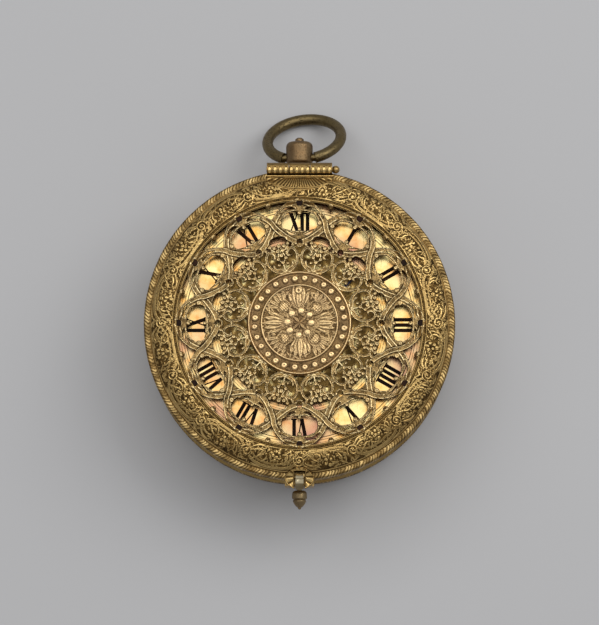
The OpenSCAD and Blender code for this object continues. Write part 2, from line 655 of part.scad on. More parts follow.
module hour_wheel() color("goldenrod") {
  translate([0, 0, pillar_z + 0.5]) wheel(motion_n, motion_m, 1, 180 / motion_n, 3, 4, 1.3, wind_r + run_gap);
  translate([0, 0, pillar_z + 0.5]) difference() {
    cylinder(r = hour_pipe_r, h = front_z + 0.3 + hand_t - pillar_z - 0.5);
    translate([0, 0, -1]) cylinder(r = wind_r + run_gap, h = 12);
  }
}

module hour_post() color("steelblue") {
  translate([0, 0, low_z]) cylinder(r = wind_r, h = front_z + 0.5 + hand_t - low_z);
  translate([0, 0, pillar_z]) cylinder(r = 1.6, h = 0.3);
  translate([0, 0, front_z + 0.4 + hand_t]) cylinder(r = 1.5, h = 0.5);
}

// Holes for the pivots of the upright arbors
module pivot_holes(z) {
  for (p = [g2, g3, s2, s3, s4, h1]) translate([p[0], p[1], z - 1]) cylinder(r = pivot_r + run_gap, h = plate_t + 2);
}

module pillar_plate() color("darkgoldenrod") difference() {
  translate([0, 0, low_z]) cylinder(r = pillar_plate_r, h = plate_t);
  pivot_holes(low_z);
  translate([v1[0], v1[1], low_z - 1]) cylinder(r = pivot_r + run_gap, h = plate_t + 2);
  translate([g1[0], g1[1], low_z - 1]) cylinder(r = pipe_r + run_gap, h = plate_t + 2);
  translate([s1[0], s1[1], low_z - 1]) cylinder(r = wind_r + run_gap, h = plate_t + 2);
  translate([0, 0, low_z - 1]) cylinder(r = wind_r, h = plate_t + 2);
  for (i = [0:3]) rotate(45 + 90 * i) translate([pillar_at, 0, low_z - 1]) cylinder(r = 0.8, h = plate_t + 2);
  for (i = [0:2]) rotate(30 + 120 * i) translate([foot_r, 0, low_z - 1]) cylinder(r = 0.5, h = plate_t + 2);
}

module top_plate() color("darkgoldenrod") difference() {
  translate([0, 0, top_z]) cylinder(r = top_plate_r, h = plate_t);
  pivot_holes(top_z);
  translate([v1[0], v1[1], top_z - 1]) cylinder(r = 1, h = plate_t + 2);
  translate([g1[0], g1[1], top_z - 1]) cylinder(r = 1.3 + run_gap, h = plate_t + 2);
  translate([s1[0], s1[1], top_z - 1]) cylinder(r = pipe_r + run_gap, h = plate_t + 2);
  translate([0, 0, top_z - 1]) cylinder(r = 0.6, h = plate_t + 2);
  translate([d1[0], d1[1], top_z - 1]) cylinder(r = 0.45 + run_gap, h = plate_t + 2);
  translate([c1[0], c1[1], top_z - 1]) cylinder(r = 0.5, h = plate_t + 2);
  for (i = [0:3]) rotate(45 + 90 * i) translate([pillar_at, 0, top_z - 1]) cylinder(r = 0.7, h = plate_t + 2);
}

// Baluster pillars, riveted into the pillar plate and pinned behind the top plate
module pillars() color("goldenrod") for (i = [0:3]) rotate(45 + 90 * i) translate([pillar_at, 0, 0]) difference() {
  rotate_extrude() polygon([
    [0, top_z - 1.1], [0.7, top_z - 1.1], [0.7, in_z], [1.9, in_z], [1.9, in_z + 0.6], [0.9, in_z + 1],
    [pillar_r, in_z + 2], [pillar_r * 1.25, (in_z + low_z) / 2], [pillar_r, low_z - 2], [0.9, low_z - 1],
    [1.9, low_z - 0.6], [1.9, low_z], [0.8, low_z], [0.8, pillar_z], [0, pillar_z]]);
  translate([0, 0, top_z - 0.45]) rotate([90, 0, 0]) cylinder(r = 0.27, h = 4, center = true);
}

module pillar_pins() color("steelblue") for (i = [0:3]) rotate(45 + 90 * i)
  translate([pillar_at, 0, top_z - 0.45]) rotate([90, 0, 0]) cylinder(r = 0.26, h = 3.4, center = true);

// A spring barrel: drum, great wheel over it, and the hollow pipe that it turns on
module barrel_drum() {
  difference() {
    cylinder(r = barrel_r, h = barrel_h + 0.1);
    translate([0, 0, -1]) cylinder(r = barrel_r - barrel_wall, h = barrel_h + 2);
  }
}

module barrel_cap() difference() {
  cylinder(r = barrel_r - barrel_wall, h = 0.5);
  translate([0, 0, -1]) cylinder(r = wind_r + 0.3 + run_gap, h = 3);
}

// A flat spiral from the arbor's core to the barrel's wall
module mainspring() {
  w = 0.3;
  r0 = 2.2;
  r1 = barrel_r - barrel_wall - 0.25;
  steps = 24 * spring_turns;
  function spiral(i, off) = pol(r0 + (r1 - r0) * i / steps + off, 15 * i);
  translate([0, 0, 0.8]) linear_extrude(barrel_h - 1.1) polygon(concat(
    [for (i = [0:steps]) spiral(i, w / 2)], [for (i = [steps:-1:0]) spiral(i, -w / 2)]));
}

module going_barrel() color("goldenrod") translate([g1[0], g1[1], 0]) {
  translate([0, 0, barrel_z]) barrel_drum();
  translate([0, 0, great_z]) linear_extrude(1) difference() {
    teeth(great_n, great_m, a_g12 + 180 / great_n);
    circle(wind_r + run_gap);
  }
  translate([0, 0, great_z]) difference() {
    cylinder(r = pipe_r, h = dial_z - 0.4 - great_z);
    translate([0, 0, -1]) cylinder(r = wind_r + run_gap, h = 20);
  }
  translate([0, 0, pillar_z + 0.4]) pinion(motion_leaves, motion_m, 1.4, 0, wind_r + 0.3);
}

module going_barrel_cap() color("goldenrod") translate([g1[0], g1[1], barrel_z]) barrel_cap();
module going_spring() color("steelblue") translate([g1[0], g1[1], barrel_z]) mainspring();

// The winding arbor: a core in the barrel, a pivot in the pipe and a square at the back
module going_arbor() color("lightsteelblue") translate([g1[0], g1[1], 0]) {
  translate([0, 0, barrel_z + 0.6]) cylinder(r = 1.8, h = barrel_h - 0.7);
  translate([0, 0, barrel_z]) cylinder(r = wind_r + 0.3, h = 0.7);
  translate([0, 0, top_z - 1.1]) cylinder(r = 1.3, h = barrel_z - top_z + 1.2);
  translate([0, 0, barrel_z]) cylinder(r = wind_r, h = dial_z - 0.2 - barrel_z);
  translate([-0.7, -0.7, square_end]) cube([1.4, 1.4, top_z - square_end]);
}

// A ratchet wheel with raked teeth
module ratchet(n = 16, r = 2.2) linear_extrude(0.7) difference() {
  polygon([for (i = [0:n - 1]) each [pol(r, i * 360 / n), pol(r - 0.45, (i + 0.12) * 360 / n)]]);
  circle(wind_r);
}

// A click: a small pawl on its screw, its nose just clear of the ratchet
module click(at, from, z) translate([at[0], at[1], z]) {
  d = at - from;
  a = atan2(-d[1], -d[0]);
  linear_extrude(0.6) difference() {
    union() {
      circle(0.9);
      rotate(a) polygon([[0, -0.85], [norm(d) - 2.3, -0.35], [norm(d) - 2.3, 0.25], [0, 0.85]]);
    }
    circle(0.42);
  }
}

ratchet_back_z = top_z - 0.9;
click_g = g1 + pol(4.2, 130);
click_s = s1 + pol(4.2, 40);
module going_ratchet() color("slategray") translate([g1[0], g1[1], ratchet_back_z]) difference() {
  ratchet();
  translate([0, 0, -1]) cylinder(r = 1.3, h = 4);
}
module going_click() color("slategray") click(click_g, g1, ratchet_back_z);

module second_arbor(pos, great_a, next_a, rim = 1.1) translate([pos[0], pos[1], 0]) {
  arbor();
  translate([0, 0, great_z - 0.3]) pinion(second_leaves, great_m, 1.6, great_a + 180);
  translate([0, 0, second_z]) wheel(second_n, second_m, wheel_t, next_a + 180 / second_n, rim = rim);
}

module second_wheel() color("goldenrod") second_arbor(g2, a_g12, a_g23);

module contrate_wheel() color("goldenrod") translate([g3[0], g3[1], 0]) {
  arbor();
  translate([0, 0, second_z - 0.2]) pinion(third_leaves, second_m, 1.4, a_g23 + 180);
  translate([0, 0, contrate_z]) linear_extrude(0.7) difference() {
    circle(contrate_r + 0.4);
    difference() {
      circle(contrate_r - 0.9);
      circle(1.3);
      for (i = [0:3]) rotate(90 * i) translate([0, -0.4]) square([contrate_r, 0.8]);
    }
  }
  for (i = [0:contrate_n - 1]) rotate(a_esc + (i + 0.5) * 360 / contrate_n)
    translate([contrate_r - 0.4, -0.14, contrate_z - 0.8]) cube([0.8, 0.28, 0.9]);
}

// Saw teeth of the crown wheel: a ring of triangles that point along its axis
module crown_teeth() for (i = [0:crown_n - 1]) rotate(i * 360 / crown_n)
  translate([crown_r - 0.45, 0, 0]) rotate([90, 0, 90]) linear_extrude(0.4)
    polygon([[-0.1, -0.1], [1.15, -0.1], [0.1, 1], [-0.05, 1]]);

module escape_wheel() color("goldenrod") translate([g3[0], g3[1], escape_z]) rotate(a_esc) rotate([0, 90, 0]) {
  translate([0, 0, 3.7]) cylinder(r = 0.35, h = 6.8);
  translate([0, 0, 2.9]) cylinder(r = 0.2, h = 8.3);
  translate([0, 0, 4.6]) linear_extrude(2.4) teeth(escape_leaves, 0.29, 0);
  translate([0, 0, 8.8]) linear_extrude(0.5) difference() {
    circle(crown_r);
    difference() {
      circle(crown_r - 0.7);
      circle(0.9);
      for (i = [0:2]) rotate(120 * i) translate([0, -0.3]) square([crown_r, 0.6]);
    }
  }
  translate([0, 0, 9.2]) difference() {
    cylinder(r = crown_r, h = 0.5);
    translate([0, 0, -1]) cylinder(r = crown_r - 0.5, h = 3);
  }
  translate([0, 0, 9.6]) crown_teeth();
}

// The verge: an upright staff with two flags that meet the crown wheel in turn
module verge() color("lightsteelblue") translate([v1[0], v1[1], 0]) {
  translate([0, 0, top_z - 0.2]) cylinder(r = 0.35, h = low_z - top_z + 0.1);
  translate([0, 0, cock_z + 0.1]) cylinder(r = 0.25, h = pillar_z - cock_z - 0.2);
  for (s = [-1, 1]) translate([0, 0, escape_z + s * 2.85 - 0.4]) rotate(180 + a_esc - s * 45)
    translate([0, -0.12, 0]) cube([1.1, 0.24, 0.8]);
}

module balance_wheel() color("goldenrod") translate([v1[0], v1[1], balance_z]) {
  linear_extrude(0.7) difference() {
    circle(balance_r);
    difference() {
      circle(balance_r - 0.8);
      for (i = [0:1]) rotate(90 * i) translate([-balance_r, -0.4]) square([2 * balance_r, 0.8]);
      circle(1.3);
    }
    circle(0.25);
  }
  difference() {
    cylinder(r = 0.8, h = top_z - balance_z - 0.3);
    translate([0, 0, -1]) cylinder(r = 0.25, h = 5);
    translate([0, 0, top_z - balance_z - 0.25]) cylinder(r = 0.35, h = 1);
  }
}

// The cock: a foot on the top plate and an arm that holds the verge's end pivot
module balance_cock() color("darkgoldenrod") translate([v1[0], v1[1], cock_z]) difference() {
  union() {
    linear_extrude(0.8) {
      circle(2.2);
      rotate(foot_a) translate([0, -1.1]) square([foot_d - 1, 2.2]);
      rotate(foot_a) translate([foot_d, 0]) circle(1.9);
    }
    rotate(foot_a) translate([foot_d, 0, 0]) cylinder(r = 1.9, h = top_z - cock_z);
  }
  translate([0, 0, -1]) cylinder(r = 0.25 + run_gap, h = 4);
  rotate(foot_a) translate([foot_d, 0, -1]) cylinder(r = 0.55, h = 8);
}

module cock_screw() color("steelblue") translate([c1[0], c1[1], 0]) difference() {
  union() {
    translate([0, 0, cock_z - 0.5]) cylinder(r = 1.1, h = 0.5);
    translate([0, 0, cock_z - 0.1]) cylinder(r = 0.48, h = top_z + plate_t - cock_z - 0.1);
  }
  translate([-2, -0.12, cock_z - 0.7]) cube([4, 0.24, 0.4]);
}

// The arm that reaches between the crown wheel and the verge to hold the wheel's front pivot
module potence() color("darkgoldenrod") translate([g3[0], g3[1], 0]) rotate(a_esc) difference() {
  union() {
    translate([10.75, -0.7, escape_z - 0.7]) cube([0.55, 6.2, 1.4]);
    translate([10.75, 4, in_z]) cube([1.6, 1.8, escape_z - in_z + 0.7]);
  }
  translate([10, 0, escape_z]) rotate([0, 90, 0]) cylinder(r = 0.2 + run_gap, h = 3);
}

module counter_potence() color("darkgoldenrod") translate([g3[0], g3[1], 0]) rotate(a_esc) difference() {
  translate([2.75, -1.1, in_z]) cube([0.8, 2.2, escape_z - in_z + 0.8]);
  translate([2, 0, escape_z]) rotate([0, 90, 0]) cylinder(r = 0.2 + run_gap, h = 3);
}

module strike_barrel() color("goldenrod") translate([s1[0], s1[1], 0]) {
  translate([0, 0, barrel_z]) difference() {
    union() {
      cylinder(r = barrel_r, h = barrel_h + 0.1);
      translate([0, 0, top_z - 1.4 - barrel_z]) cylinder(r = pipe_r, h = barrel_z - top_z + 1.5);
    }
    translate([0, 0, 0.5]) cylinder(r = barrel_r - barrel_wall, h = barrel_h + 1);
    translate([0, 0, -8]) cylinder(r = wind_r + run_gap, h = 20);
  }
  translate([0, 0, great_z]) linear_extrude(1) difference() {
    teeth(great_n, great_m, a_s12 + 180 / great_n);
    circle(barrel_r - barrel_wall);
  }
  translate([0, 0, top_z - 1.4]) pinion(motion_leaves, motion_m, 1.2, 180, wind_r + 0.3);
}

module strike_barrel_cap() color("goldenrod") translate([s1[0], s1[1], great_z + 0.4]) difference() {
  cylinder(r = barrel_r - barrel_wall, h = 0.5);
  translate([0, 0, -1]) cylinder(r = wind_r + run_gap, h = 3);
}

module strike_spring() color("steelblue") translate([s1[0], s1[1], barrel_z]) mainspring();

module strike_arbor() color("lightsteelblue") translate([s1[0], s1[1], 0]) {
  translate([0, 0, barrel_z + 0.6]) cylinder(r = 1.8, h = barrel_h - 0.3);
  translate([0, 0, top_z - 1.4]) cylinder(r = wind_r, h = pillar_z + 1 - top_z + 1.4);
  translate([-0.7, -0.7, square_end]) cube([1.4, 1.4, top_z - square_end]);
}

module strike_ratchet() color("slategray") translate([s1[0], s1[1], pillar_z + 0.15]) ratchet();
module strike_click() color("slategray") click(click_s, s1, pillar_z + 0.15);

module pin_wheel() color("goldenrod") {
  second_arbor(s2, a_s12, a_s23, 2);
  for (i = [0:7]) translate([s2[0], s2[1], second_z + wheel_t - 0.05]) rotate(45 * i + 20)
    translate([pin_ring_r, 0, 0]) cylinder(r = 0.35, h = 0.95);
}

module locking_wheel() color("goldenrod") translate([s3[0], s3[1], 0]) {
  arbor();
  translate([0, 0, second_z - 0.2]) pinion(third_leaves, second_m, 1.4, a_s23 + 180);
  translate([0, 0, warn_z]) wheel(warn_n, warn_m, 0.7, a_s34 + 180 / warn_n, 1.4);
}

// The fly: a pinion and two thin vanes that brake the strike in the air
module fly() color("lightsteelblue") translate([s4[0], s4[1], 0]) {
  arbor(0.4);
  translate([0, 0, warn_z - 0.3]) pinion(fly_leaves, warn_m, 1.3, a_s34 + 180);
  translate([-4, -0.15, warn_z + 1.6]) cube([8, 0.3, 2.6]);
}

// The hammer: its staff, the tail that the pins lift and the head inside the bell's lip
module hammer() color("lightsteelblue") translate([h1[0], h1[1], 0]) {
  tail_a = atan2(s2[1] - h1[1], s2[0] - h1[0]);
  tail = norm(s2 - h1) - pin_ring_r - 0.35 - 0.15;
  translate([0, 0, in_z + 0.1]) cylinder(r = 0.6, h = low_z - in_z - 0.2);
  translate([0, 0, hammer_z]) cylinder(r = pivot_r, h = pillar_z - hammer_z - 0.1);
  translate([0, 0, second_z + wheel_t + 0.1]) rotate(tail_a) translate([0, -0.4, 0]) cube([tail, 0.8, 0.7]);
  translate([0, 0, hammer_z]) linear_extrude(0.9) {
    circle(1);
    rotate(100) translate([0, -0.45]) square([6, 0.9]);
  }
  rotate(100) translate([6.6, -1.6, hammer_z - 0.3]) rotate([-90, 0, 0]) translate([0, -0.75, 0]) cylinder(r = 1.1, h = 3.2);
}

// The spring that throws the hammer back
module hammer_spring() color("steelblue") translate([h1[0] + 3.4, h1[1] - 5, in_z]) {
  cylinder(r = 0.9, h = 1.6);
  rotate(112) translate([0, -0.12, 0.6]) cube([4.6, 0.24, 0.9]);
}

// The count wheel: a driven rim of teeth with a notched disc behind it
module count_wheel() color("goldenrod") translate([0, 0, count_z]) difference() {
  union() {
    translate([0, 0, 0.6]) wheel(motion_n, motion_m, 0.6, 180 / motion_n, 3, 4, 1.4);
    linear_extrude(0.65) difference() {
      circle(7.6);
      circle(6.2);
      for (i = [1:12]) rotate(-(i * (i + 1) / 2) * 360 / 90) translate([-0.45, 7]) square([0.9, 2]);
    }
  }
  translate([0, 0, -1]) cylinder(r = 0.6 + run_gap, h = 4);
}

module count_stud() color("steelblue") {
  translate([0, 0, count_z - 0.1]) cylinder(r = 0.6, h = in_z - count_z);
  translate([0, 0, count_z + 0.1]) cylinder(r = 1.3, h = 0.4);
}

// The detent that feels for the count wheel's notches
module count_detent() color("lightsteelblue") translate([d1[0], d1[1], 0]) {
  translate([0, 0, count_z - 0.1]) cylinder(r = 0.45, h = in_z - count_z);
  translate([0, 0, count_z - 0.1]) linear_extrude(0.6) {
    circle(1.1);
    rotate(225) translate([0, -0.4]) square([3.6, 0.8]);
  }
}

case_band();
front_hinge_pin();
back_hinge_pin();
pendant_stud();
pendant_knob();
pendant_ring();
catch_hook();
catch_finial();
catch_spring();
cover_shell();
cover_grille();
cover_medallion();
back_shell();
back_grille();
bell();
bell_stud();
bell_nut();
dial_plate();
dial_feet();
dial_screws();
hour_hand();
hour_wheel();
hour_post();
pillar_plate();
top_plate();
pillars();
pillar_pins();
going_barrel();
going_barrel_cap();
going_spring();
going_arbor();
going_ratchet();
going_click();
second_wheel();
contrate_wheel();
escape_wheel();
verge();
balance_wheel();
balance_cock();
cock_screw();
potence();
counter_potence();
strike_barrel();
strike_barrel_cap();
strike_spring();
strike_arbor();
strike_ratchet();
strike_click();
pin_wheel();
locking_wheel();
fly();
hammer();
hammer_spring();
count_wheel();
count_stud();
count_detent();
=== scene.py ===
from math import cos, pi, radians, sin, sqrt
import bpy
import numpy as np
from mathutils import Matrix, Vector


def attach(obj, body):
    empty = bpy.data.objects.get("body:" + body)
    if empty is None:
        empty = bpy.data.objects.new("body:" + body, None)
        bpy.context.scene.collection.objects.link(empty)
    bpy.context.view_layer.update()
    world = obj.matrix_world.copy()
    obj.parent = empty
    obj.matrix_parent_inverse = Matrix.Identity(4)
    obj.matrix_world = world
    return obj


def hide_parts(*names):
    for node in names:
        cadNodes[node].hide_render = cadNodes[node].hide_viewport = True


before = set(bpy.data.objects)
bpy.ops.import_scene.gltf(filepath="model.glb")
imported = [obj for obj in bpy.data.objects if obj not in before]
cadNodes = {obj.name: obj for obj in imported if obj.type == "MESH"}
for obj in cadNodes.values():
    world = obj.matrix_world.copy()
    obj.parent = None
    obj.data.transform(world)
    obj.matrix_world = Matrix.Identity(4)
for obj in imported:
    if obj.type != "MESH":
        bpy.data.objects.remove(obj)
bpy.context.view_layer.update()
dice = np.random.default_rng(1620)

# All sizes below are in millimetres and degrees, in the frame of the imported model:
# +Z out of the dial, +Y towards XII and the pendant, +X towards III
mm = 0.001
watch = dict(hours=12, caseR=38.9, joint=25.0, backJoint=5.5, dialTop=24.9,
             shoulderOut=37.2, shoulderIn=32.2, shoulderFoot=27.4, shoulderTop=30.6, lipR=30.6)


# Shapes
def unit(x):
    # Held between 0 and 1
    return np.clip(x, 0, 1)


def hump(x, at, width):
    # Soft ridge: exp(-((x - at) / width)^2)
    return np.exp(-((x - at) / width) ** 2)


def round01(x, at, half):
    # Half-round ridge: sqrt(1 - ((x - at) / half)^2), 0 outside
    return unit(1 - ((x - at) / half) ** 2) ** 0.5


def around(count):
    # Even steps of angle round a turn
    return np.arange(count) * 2 * pi / count


def gridFaces(rows, cols, wrapRows=False, wrapCols=False, flip=False):
    # Quads of a grid of points stored row by row; a wrapped side joins its last line to its first
    i = np.arange(rows if wrapRows else rows - 1)[:, None]
    j = np.arange(cols if wrapCols else cols - 1)[None, :]
    a, b = i * cols + j, ((i + 1) % rows) * cols + j
    c, d = ((i + 1) % rows) * cols + (j + 1) % cols, i * cols + (j + 1) % cols
    quads = np.stack([a, b, c, d], -1).reshape(-1, 4)
    return quads[:, ::-1] if flip else quads


def ringPoints(angle, radius, height):
    # A point at each angle (rows) and profile place (columns): radius times (cos, sin), and the height
    angle = np.asarray(angle)[:, None]
    radius, height = np.broadcast_arrays(radius, height)
    if radius.ndim == 1:
        radius, height = radius[None, :], height[None, :]
    return np.stack([np.cos(angle) * radius, np.sin(angle) * radius, height * np.ones_like(angle)], -1)


def curveThrough(knots, steps):
    # Catmull-Rom curve through the knots: each span is the cubic whose end slopes are half its neighbours' gap
    p = np.asarray(knots, float)
    p = np.vstack([2 * p[0] - p[1], p, 2 * p[-1] - p[-2]])
    t = (np.arange(steps) / steps)[None, :, None]
    a, b, c, d = (p[i:len(p) - 3 + i][:, None, :] for i in range(4))
    spans = 0.5 * (2 * b + (c - a) * t + (2 * a - 5 * b + 4 * c - d) * t ** 2 + (3 * b - a - 3 * c + d) * t ** 3)
    return np.vstack([spans.reshape(-1, p.shape[1]), p[-2]])


def lathe(profile, steps, closed=False):
    # Turns a profile (radius, height) about Z: a closed one is a ring, the ends of an open one lie on the axis,
    # and each becomes one point with a fan of triangles
    profile = np.asarray(profile, float)
    points = ringPoints(around(steps), profile[:, 0], profile[:, 1]).reshape(-1, 3)
    k = len(profile)
    quads, tris = gridFaces(steps, k, True, closed), np.empty((0, 3), int)
    if closed:
        return points, quads, tris
    row, after = np.arange(steps) * k, (np.arange(steps) + 1) % steps * k
    for end, first, second in ((0, after + 1, row + 1), (k - 1, row + k - 2, after + k - 2)):
        points = np.vstack([points, [0, 0, profile[end, 1]]])
        tris = np.vstack([tris, np.stack([first, second, np.full(steps, len(points) - 1)], -1)])
        quads = quads[(quads % k != end).all(1)]
    used = np.unique(np.concatenate([quads.ravel(), tris.ravel()]))
    place = np.zeros(len(points), int)
    place[used] = np.arange(len(used))
    return points[used], place[quads], place[tris]


def gather(parts):
    # Joins (points, quads, triangles) triples into one triple
    starts = np.cumsum([0] + [len(part[0]) for part in parts])
    return (np.vstack([part[0] for part in parts]),
            np.vstack([part[1] + start for part, start in zip(parts, starts)]),
            np.vstack([part[2] + start for part, start in zip(parts, starts)]))


def pierced(top, low, solid, marks):
    # Closed sheet between two grids of points, kept where solid is negative: every quad with a corner in metal stays,
    # its outer corners already pulled to the edge, and walls stand where a kept quad has no neighbour
    rows, cols = solid.shape
    top, low = top.reshape(-1, 3), low.reshape(-1, 3)
    n = len(top)
    quads = gridFaces(rows, cols)
    quads = quads[(solid.ravel() < 0)[quads].any(1)]
    edges = np.concatenate([quads[:, [i, (i + 1) % 4]] for i in range(4)])
    rim = edges[~np.isin(edges[:, 0] * n + edges[:, 1], edges[:, 1] * n + edges[:, 0])]
    wall = np.column_stack([rim[:, 0], rim[:, 0] + n, rim[:, 1] + n, rim[:, 1]])
    used = np.unique(quads)
    place = np.zeros(2 * n, int)
    place[used], place[used + n] = np.arange(len(used)), np.arange(len(used)) + len(used)
    return (np.vstack([top[used], low[used]]), [place[quads], place[quads[:, ::-1] + n], place[wall]],
            np.concatenate([marks.ravel()[used], np.full(len(used), 0.1)]))


def pulled(x, y, solid, measure, reach):
    # Moves the places just outside the metal back along the slope of the distance, onto its edge
    eps = 0.02
    slopeX, slopeY = (measure(x + eps, y) - solid) / eps, (measure(x, y + eps) - solid) / eps
    steep = np.maximum(np.hypot(slopeX, slopeY), 0.4) ** 2
    pull = np.clip(solid, 0, reach)
    return x - pull * slopeX / steep, y - pull * slopeY / steep


def addPiece(name, points, faces, look, body, marks=None, nodes=(), sharp=None):
    # Puts points and arrays of faces, each array of one width, into a mesh that rides on a body.
    # The marks, one for each point, say how high and bare the metal stands there: shaders read them as "relief".
    points = np.asarray(points, float).reshape(-1, 3)
    groups = [np.asarray(f, np.int32) for f in faces if len(f)]
    widths = np.concatenate([np.full(len(g), g.shape[1]) for g in groups])
    mesh = bpy.data.meshes.new(name)
    mesh.vertices.add(len(points))
    mesh.vertices.foreach_set("co", (points * mm).ravel())
    mesh.loops.add(int(widths.sum()))
    mesh.loops.foreach_set("vertex_index", np.concatenate([g.ravel() for g in groups]))
    mesh.polygons.add(len(widths))
    mesh.polygons.foreach_set("loop_start", np.concatenate([[0], np.cumsum(widths)[:-1]]))
    mesh.update(calc_edges=True)
    mesh.validate()
    if marks is not None:
        relief = mesh.attributes.new("relief", "FLOAT", "POINT")
        relief.data.foreach_set("value", np.asarray(marks, np.float32).ravel())
    mesh.shade_smooth()
    if sharp:
        mesh.set_sharp_from_angle(angle=radians(sharp))
    mesh.materials.append(looks[look])
    piece = bpy.data.objects.new(name, mesh)
    bpy.context.scene.collection.objects.link(piece)
    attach(piece, body)
    if nodes:
        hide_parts(*nodes)
    print("piece", name, len(widths), "faces")


# Chased relief
class Relief:
    # Height field over scattered (along, across) places: motifs are pressed in where they stand highest

    def __init__(self, along, across, lap=None):
        self.along, self.across, self.lap = along.ravel(), across.ravel(), lap
        self.height = np.zeros(self.along.size)

    def near(self, path, reach):
        # Places within reach of the path, with the along values unwrapped round the ring where there is a lap
        (lowX, lowY), (highX, highY) = path.min(0) - reach, path.max(0) + reach
        middle, along = 0.5 * (path[:, 0].min() + path[:, 0].max()), self.along
        if self.lap:
            along = (along - middle + self.lap / 2) % self.lap - self.lap / 2 + middle
        hit = np.nonzero((along > lowX) & (along < highX) & (self.across > lowY) & (self.across < highY))[0]
        return hit, along[hit], self.across[hit]

    def stroke(self, path, width, height, groove=0.0, grooveWidth=0.3, flat=0.5):
        # Ridge along a path: height * (1 - (distance / half width)^2)^flat, with a groove down its middle
        path = np.asarray(path, float).reshape(-1, 2)
        half = np.broadcast_to(np.asarray(width, float), len(path)) / 2
        hit, x, y = self.near(path, half.max())
        if not len(hit):
            return
        ratio = (np.hypot(x[:, None] - path[:, 0], y[:, None] - path[:, 1]) / np.maximum(half, 1e-3)).min(1)
        ridge = height * unit(1 - ratio ** 2) ** flat - groove * hump(ratio, 0, grooveWidth) * (ratio < 1)
        self.height[hit] = np.where(ratio < 1, np.maximum(self.height[hit] * 0.25, ridge), self.height[hit])

    def berry(self, x, y, size, height):
        # Small ball with a pricked middle and a bright rim
        self.stroke([[x, y]], size, height, groove=height * 0.75, grooveWidth=0.28)

    def leaf(self, knots, width, height, steps=10):
        # Pointed leaf: a ridge whose width swells and closes along the path, with a vein down its middle
        path = curveThrough(knots, steps)
        swell = np.sin(pi * (0.1 + 0.88 * np.linspace(0, 1, len(path)))) ** 0.8
        self.stroke(path, width * swell, height, groove=height * 0.4, grooveWidth=0.22)

    def ribbon(self, knots, width, height):
        # Strap with two bright edges and a sunk middle
        self.stroke(curveThrough(knots, 10), width, height, groove=height * 0.65, grooveWidth=0.5, flat=0.3)

    def coil(self, x, y, outer, inner, start, sweep, width, height):
        # Spiral strap: the radius falls evenly from outer to inner while the angle runs through the sweep
        share = np.linspace(0, 1, 36)
        a = np.radians(start + sweep * share)
        r = outer + (inner - outer) * share
        self.stroke(np.stack([x + r * np.cos(a), y + r * np.sin(a)], -1), width * (1 - 0.3 * share), height, flat=0.4)


filler = dict(leafFrom=0.5, leafTo=1.0, berryBelow=0.58, berry=(0.42, 0.18), leaf=(0.36, 0.19), bend=0.9, bare=0.05)


def fillGround(field, lap, low, high, count):
    # Small curled leaves and berries, thrown at random and kept where the ground is still bare
    f = filler
    shape = (len(np.unique(field.along)), -1)
    lines, rows = field.along.reshape(shape)[:, 0], field.across.reshape(shape)[0]
    for x, y, heading, size in zip(dice.uniform(0, lap, count), dice.uniform(low + 0.15, high - 0.15, count),
                                   dice.uniform(0, 2 * pi, count), dice.uniform(f["leafFrom"], f["leafTo"], count)):
        column, row = int(x / lap * len(lines)) % len(lines), int(np.abs(rows - y).argmin())
        beside = [(column - 1) % len(lines), (column + 1) % len(lines)]
        if field.height.reshape(shape)[beside, row].max() > f["bare"]:
            continue
        if size < f["berryBelow"]:
            field.berry(x, y, *f["berry"])
            continue
        bend = heading + (f["bend"] if row % 2 else -f["bend"])
        mid = (x + 0.5 * size * cos(heading), y + 0.5 * size * sin(heading))
        tip = (mid[0] + 0.5 * size * cos(bend), mid[1] + 0.5 * size * sin(bend))
        if low + 0.1 < tip[1] < high - 0.1:
            field.leaf([(x, y), mid, tip], *f["leaf"], 4)


# One cell of the running scroll, 13.5 long and 4.15 wide before it is fitted: knots, then the width (and the height)
scroll = dict(
    long=13.5, wide=4.15, shift=0.12, jitter=0.07,
    straps=[([(1.0, -0.9), (2.6, -1.55), (5.2, -1.8), (8.6, -1.75), (11.2, -1.35), (12.4, -0.6)], 0.62, 0.24),
            ([(1.4, -0.1), (3.0, -0.95), (5.4, -1.2), (8.2, -1.1), (10.6, -0.4), (12.2, 0.7), (12.9, 1.5)],
             0.46, 0.22)],
    leaves=[([(0.9, 1.0), (2.4, 1.75), (4.4, 1.85)], 0.55), ([(1.1, 0.5), (2.6, 1.05), (4.3, 1.0)], 0.5),
            ([(2.6, -0.7), (3.6, 0.05), (4.6, 0.35)], 0.5), ([(4.2, -1.1), (5.0, -0.5), (5.2, 0.3)], 0.42),
            ([(9.8, -0.6), (10.4, 0.3), (10.2, 1.2)], 0.5), ([(10.9, 0.0), (11.3, 0.9), (10.9, 1.8)], 0.45),
            ([(2.0, -1.9), (3.2, -2.0), (4.6, -2.05)], 0.35), ([(9.5, -2.0), (11.0, -1.95), (12.6, -1.7)], 0.35),
            ([(11.9, -1.9), (12.8, -1.5), (13.8, -1.7)], 0.4), ([(4.6, 1.95), (6.5, 2.05), (9.6, 1.95)], 0.3),
            ([(3.4, 1.45), (4.3, 1.3), (5.1, 1.7)], 0.34), ([(9.9, 0.9), (10.9, 1.4), (11.9, 1.95)], 0.4),
            ([(8.9, -0.9), (9.7, -1.0), (10.6, -0.8)], 0.32), ([(1.3, -1.3), (2.0, -0.9), (2.9, -0.2)], 0.32),
            ([(-0.9, 1.2), (-0.2, 1.8), (0.9, 1.9)], 0.4), ([(-1.0, -1.3), (-0.3, -1.7), (0.8, -1.5)], 0.36)],
    berries=[(6.3, 1.2), (7.3, 1.35), (8.2, 1.15), (6.8, 0.45), (7.8, 0.4), (7.3, -0.35)], berry=(0.8, 0.26),
)


